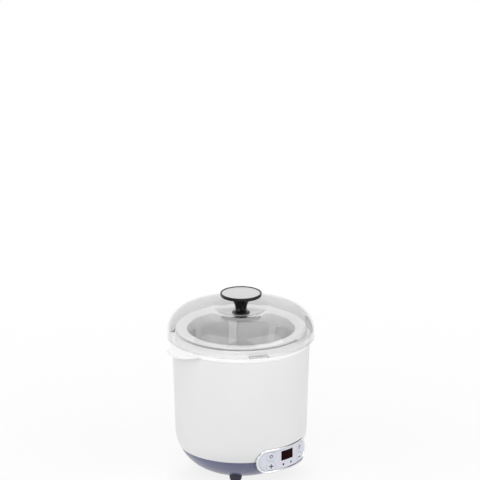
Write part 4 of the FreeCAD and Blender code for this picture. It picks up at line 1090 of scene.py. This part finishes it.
# %% Feet
FOOT_STEPS = [
    (0.0, 0.0), (3.6, 0.0), (4.0, 0.15, 0.5, "left"), (7.25, 7.9, 11.0, "left"), (7.25, 11.5), (0.0, 11.5),
]
FOOT_SPOTS = [(37.04, -28.94), (26.96, 38.5)]
foot_points, foot_faces = spin(trace(FOOT_STEPS), 48)
foot_count = len(foot_points)
pair_points = [(x + across, y + back, z) for across, back in FOOT_SPOTS for x, y, z in foot_points]
pair_faces = foot_faces + [[corner + foot_count for corner in face] for face in foot_faces]
feet = new_piece("rubber_feet", pair_points, pair_faces)
apply_rule(feet, MIRRORED_PAIR, Material=FINISHES["foot_rubber"])
hand_over(feet, "base", "foot_rubber",
          "foot_front_left", "foot_front_right", "foot_rear_left", "foot_rear_right")

# %% Bezel
BEZEL_WIDTH = 3.0
BEZEL_ROUND = 1.5
BEZEL_BACK = PANEL_FACE - 9.8
half_turn = [math.pi * number / 12 for number in range(13)]
crown = [
    (PANEL_FACE - BEZEL_ROUND * (1 - math.sin(a)), PANEL_HALF - BEZEL_ROUND * (1 - math.cos(a)))
    for a in half_turn
]
bezel_section = [(BEZEL_BACK, PANEL_HALF)] + crown + [(BEZEL_BACK, PANEL_HALF - BEZEL_WIDTH)]
bezel = new_piece("bezel_ring", *sweep_band(bezel_section), recalculate=True)
hand_over(bezel, "base", "bezel_chrome", "panel_bezel")

# %% [markdown]
# ## Buttons and display
# Each button is a low round cap that follows the panel's curve and has a soft
# edge. Its sign is printed on. A sign could be a decal, but these are so simple
# that a few distances drawn in the shader are enough: two crossed bars, one bar,
# a broken ring with a bar, and a ring with two hands. The display keeps the
# faint outlines of its unlit digits in the same way.

# %% Signs from distances
def calculate(tree, kind, first, second=None):
    node = add_node(tree, "ShaderNodeMath", {"operation": kind})
    for socket, value in zip(node.inputs, (first, second)):
        if isinstance(value, (int, float)):
            socket.default_value = value
        elif value is not None:
            link(tree, value, socket)
    return node.outputs[0]


def band(tree, value, centre, half):
    away = calculate(tree, "ABSOLUTE", calculate(tree, "SUBTRACT", value, centre))
    return calculate(tree, "LESS_THAN", away, half)


def both(tree, first, second):
    return calculate(tree, "MULTIPLY", first, second)


def either(tree, first, second):
    return calculate(tree, "MAXIMUM", first, second)


def make_sign_group():
    tree, enter, leave = new_group(
        "printed_signs", [("Vector", VECTOR, None)],
        [("Plus", FLOAT), ("Minus", FLOAT), ("Power", FLOAT), ("Clock", FLOAT)])
    parts = add_node(tree, "ShaderNodeSeparateXYZ")
    reach = add_node(tree, "ShaderNodeVectorMath", {"operation": "LENGTH"})
    flat = add_node(tree, "ShaderNodeVectorMath", {"operation": "MULTIPLY"})
    flat.inputs[1].default_value = (1.0, 0.0, 1.0)
    link(tree, enter.outputs["Vector"], flat.inputs[0])
    link(tree, flat.outputs[0], parts.inputs[0])
    link(tree, flat.outputs[0], reach.inputs[0])
    across, up, away = parts.outputs["X"], parts.outputs["Z"], reach.outputs["Value"]
    level = both(tree, band(tree, up, 0, 0.00062), band(tree, across, 0, 0.0026))
    upright = both(tree, band(tree, across, 0, 0.00062), band(tree, up, 0, 0.0026))
    gap = both(tree, band(tree, across, 0, 0.0008), band(tree, up, 0.0018, 0.0012))
    open_ring = both(tree, band(tree, away, 0.0018, 0.0004), calculate(tree, "SUBTRACT", 1, gap))
    bar = both(tree, band(tree, across, 0, 0.0004), band(tree, up, 0.0015, 0.0011))
    long_hand = both(tree, band(tree, across, 0, 0.00036), band(tree, up, 0.0006, 0.0008))
    short_hand = both(tree, band(tree, up, 0, 0.00036), band(tree, across, 0.0004, 0.0007))
    dial = either(tree, band(tree, away, 0.0020, 0.0004), either(tree, long_hand, short_hand))
    link(tree, level, leave.inputs["Minus"])
    link(tree, either(tree, level, upright), leave.inputs["Plus"])
    link(tree, either(tree, open_ring, bar), leave.inputs["Power"])
    link(tree, dial, leave.inputs["Clock"])
    return tree


SIGNS = make_sign_group()
print("signs:", [item.name for item in SIGNS.interface.items_tree if item.in_out == "OUTPUT"])

# %% Print a mask over a finish
INK = (0.004, 0.004, 0.006)


def overprint(material, mask, ink):
    tree = material.node_tree
    socket = tree.nodes["Principled BSDF"].inputs["Base Color"]
    ground = socket.links[0].from_socket
    mix = add_node(tree, "ShaderNodeMix", {"data_type": "RGBA"})
    mix.inputs[7].default_value = rgb(*ink)
    link(tree, mask, mix.inputs[0])
    link(tree, ground, mix.inputs[6])
    link(tree, mix.outputs[2], socket)


def centred(tree, centre):
    place = add_node(tree, "ShaderNodeTexCoord").outputs["Object"]
    shift = add_node(tree, "ShaderNodeMapping")
    shift.inputs["Location"].default_value = -centre
    link(tree, place, shift.inputs["Vector"])
    return shift.outputs["Vector"]


print("ink ready")

# %% Buttons
BUTTON_FACE = PANEL_FACE - 0.4
BUTTON_EDGE = [
    (1.3, 0.0), (2.6, 0.02), (3.8, 0.05), (4.6, 0.1), (4.9, 0.16), (5.15, 0.28), (5.3, 0.5), (5.35, 0.8),
]
BUTTON_STEM = [(5.35, 69.36), (1.45, 69.36), (1.45, 67.76)]
BUTTON_RINGS = [(radius, drop, None) for radius, drop in BUTTON_EDGE]
BUTTON_RINGS += [(radius, 0.0, back) for radius, back in BUTTON_STEM]


def button_cap(centre, sides=48):
    x0, z0 = centre.x / MM, centre.z / MM
    points = []
    for radius, drop, back in BUTTON_RINGS:
        for number in range(sides):
            turn = math.tau * number / sides
            x, z = x0 + radius * math.cos(turn), z0 + radius * math.sin(turn)
            points.append((x, -(back or math.sqrt((BUTTON_FACE - drop) ** 2 - x ** 2)), z))
    return points, tube_faces(len(BUTTON_RINGS), sides)


for name, sign in (("power", "Power"), ("plus", "Plus"), ("mode", "Clock"), ("minus", "Minus")):
    low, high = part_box("button_" + name)
    centre = (Vector(low) + Vector(high)) / 2
    material = finish("button_" + name, **BUTTON_GREY)
    printed = use_group(material.node_tree, SIGNS, centred(material.node_tree, centre))
    overprint(material, printed.outputs[sign], INK)
    cap = new_piece(name + "_button", *button_cap(centre), recalculate=True)
    cap.data.materials.append(material)
    hand_over(cap, "button_" + name, "button_grey", "button_" + name)

# %% Unlit digits on the display
DIGIT_OFFSET = 0.0042
UNLIT_RED = (0.028, 0.004, 0.005)


def make_digit_group():
    tree, enter, leave = new_group("unlit_digits", [("Vector", VECTOR, None)], [("Mask", FLOAT)])
    parts = add_node(tree, "ShaderNodeSeparateXYZ")
    link(tree, enter.outputs["Vector"], parts.inputs[0])
    outward = calculate(tree, "ABSOLUTE", parts.outputs["X"])
    side = calculate(tree, "ABSOLUTE", calculate(tree, "SUBTRACT", outward, DIGIT_OFFSET))
    rise = calculate(tree, "ABSOLUTE", parts.outputs["Z"])
    level = either(tree, band(tree, rise, 0, 0.0004), band(tree, rise, 0.0036, 0.0004))
    bars = both(tree, level, band(tree, side, 0, 0.0017))
    posts = both(tree, band(tree, side, 0.0022, 0.0004), band(tree, rise, 0.0018, 0.0013))
    link(tree, either(tree, bars, posts), leave.inputs["Mask"])
    return tree


DIGITS = make_digit_group()
low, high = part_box("display_window")
glass = FINISHES["display_dark"]
unlit = use_group(glass.node_tree, DIGITS, centred(glass.node_tree, (Vector(low) + Vector(high)) / 2))
overprint(glass, unlit.outputs["Mask"], UNLIT_RED)
print("display digits drawn")

# %% [markdown]
# ## Turned rings on the knob's disc
# The disc is spun metal: the tool leaves fine rings around the middle. They
# could be cut as grooves, but they are finer than any mesh here needs, so a
# noise along the distance to the axis gives them as a bump.

# %% Turned rings
RING_RELIEF = 0.12


def make_ring_group():
    tree, enter, leave = new_group(
        "turned_rings", [("Vector", VECTOR, None), ("Size", FLOAT, 1800.0)], [("Height", FLOAT)])
    flat = add_node(tree, "ShaderNodeVectorMath", {"operation": "MULTIPLY"})
    flat.inputs[1].default_value = (1.0, 1.0, 0.0)
    reach = add_node(tree, "ShaderNodeVectorMath", {"operation": "LENGTH"})
    noise = add_node(tree, "ShaderNodeTexNoise", {"noise_dimensions": "1D"}, Detail=3.0, Roughness=0.6)
    link(tree, enter.outputs["Vector"], flat.inputs[0])
    link(tree, flat.outputs[0], reach.inputs[0])
    link(tree, reach.outputs["Value"], noise.inputs["W"])
    link(tree, enter.outputs["Size"], noise.inputs["Scale"])
    link(tree, noise.outputs["Fac"], leave.inputs["Height"])
    return tree


def turn_rings(material):
    tree = material.node_tree
    relief = next(node for node in tree.nodes if node.bl_idname == "ShaderNodeBump")
    place = add_node(tree, "ShaderNodeTexCoord").outputs["Object"]
    rings = use_group(tree, TURNED, place)
    link(tree, rings.outputs["Height"], relief.inputs["Height"])
    relief.inputs["Strength"].default_value = RING_RELIEF


TURNED = make_ring_group()
turn_rings(FINISHES["cap_silver"])
print("disc turned")
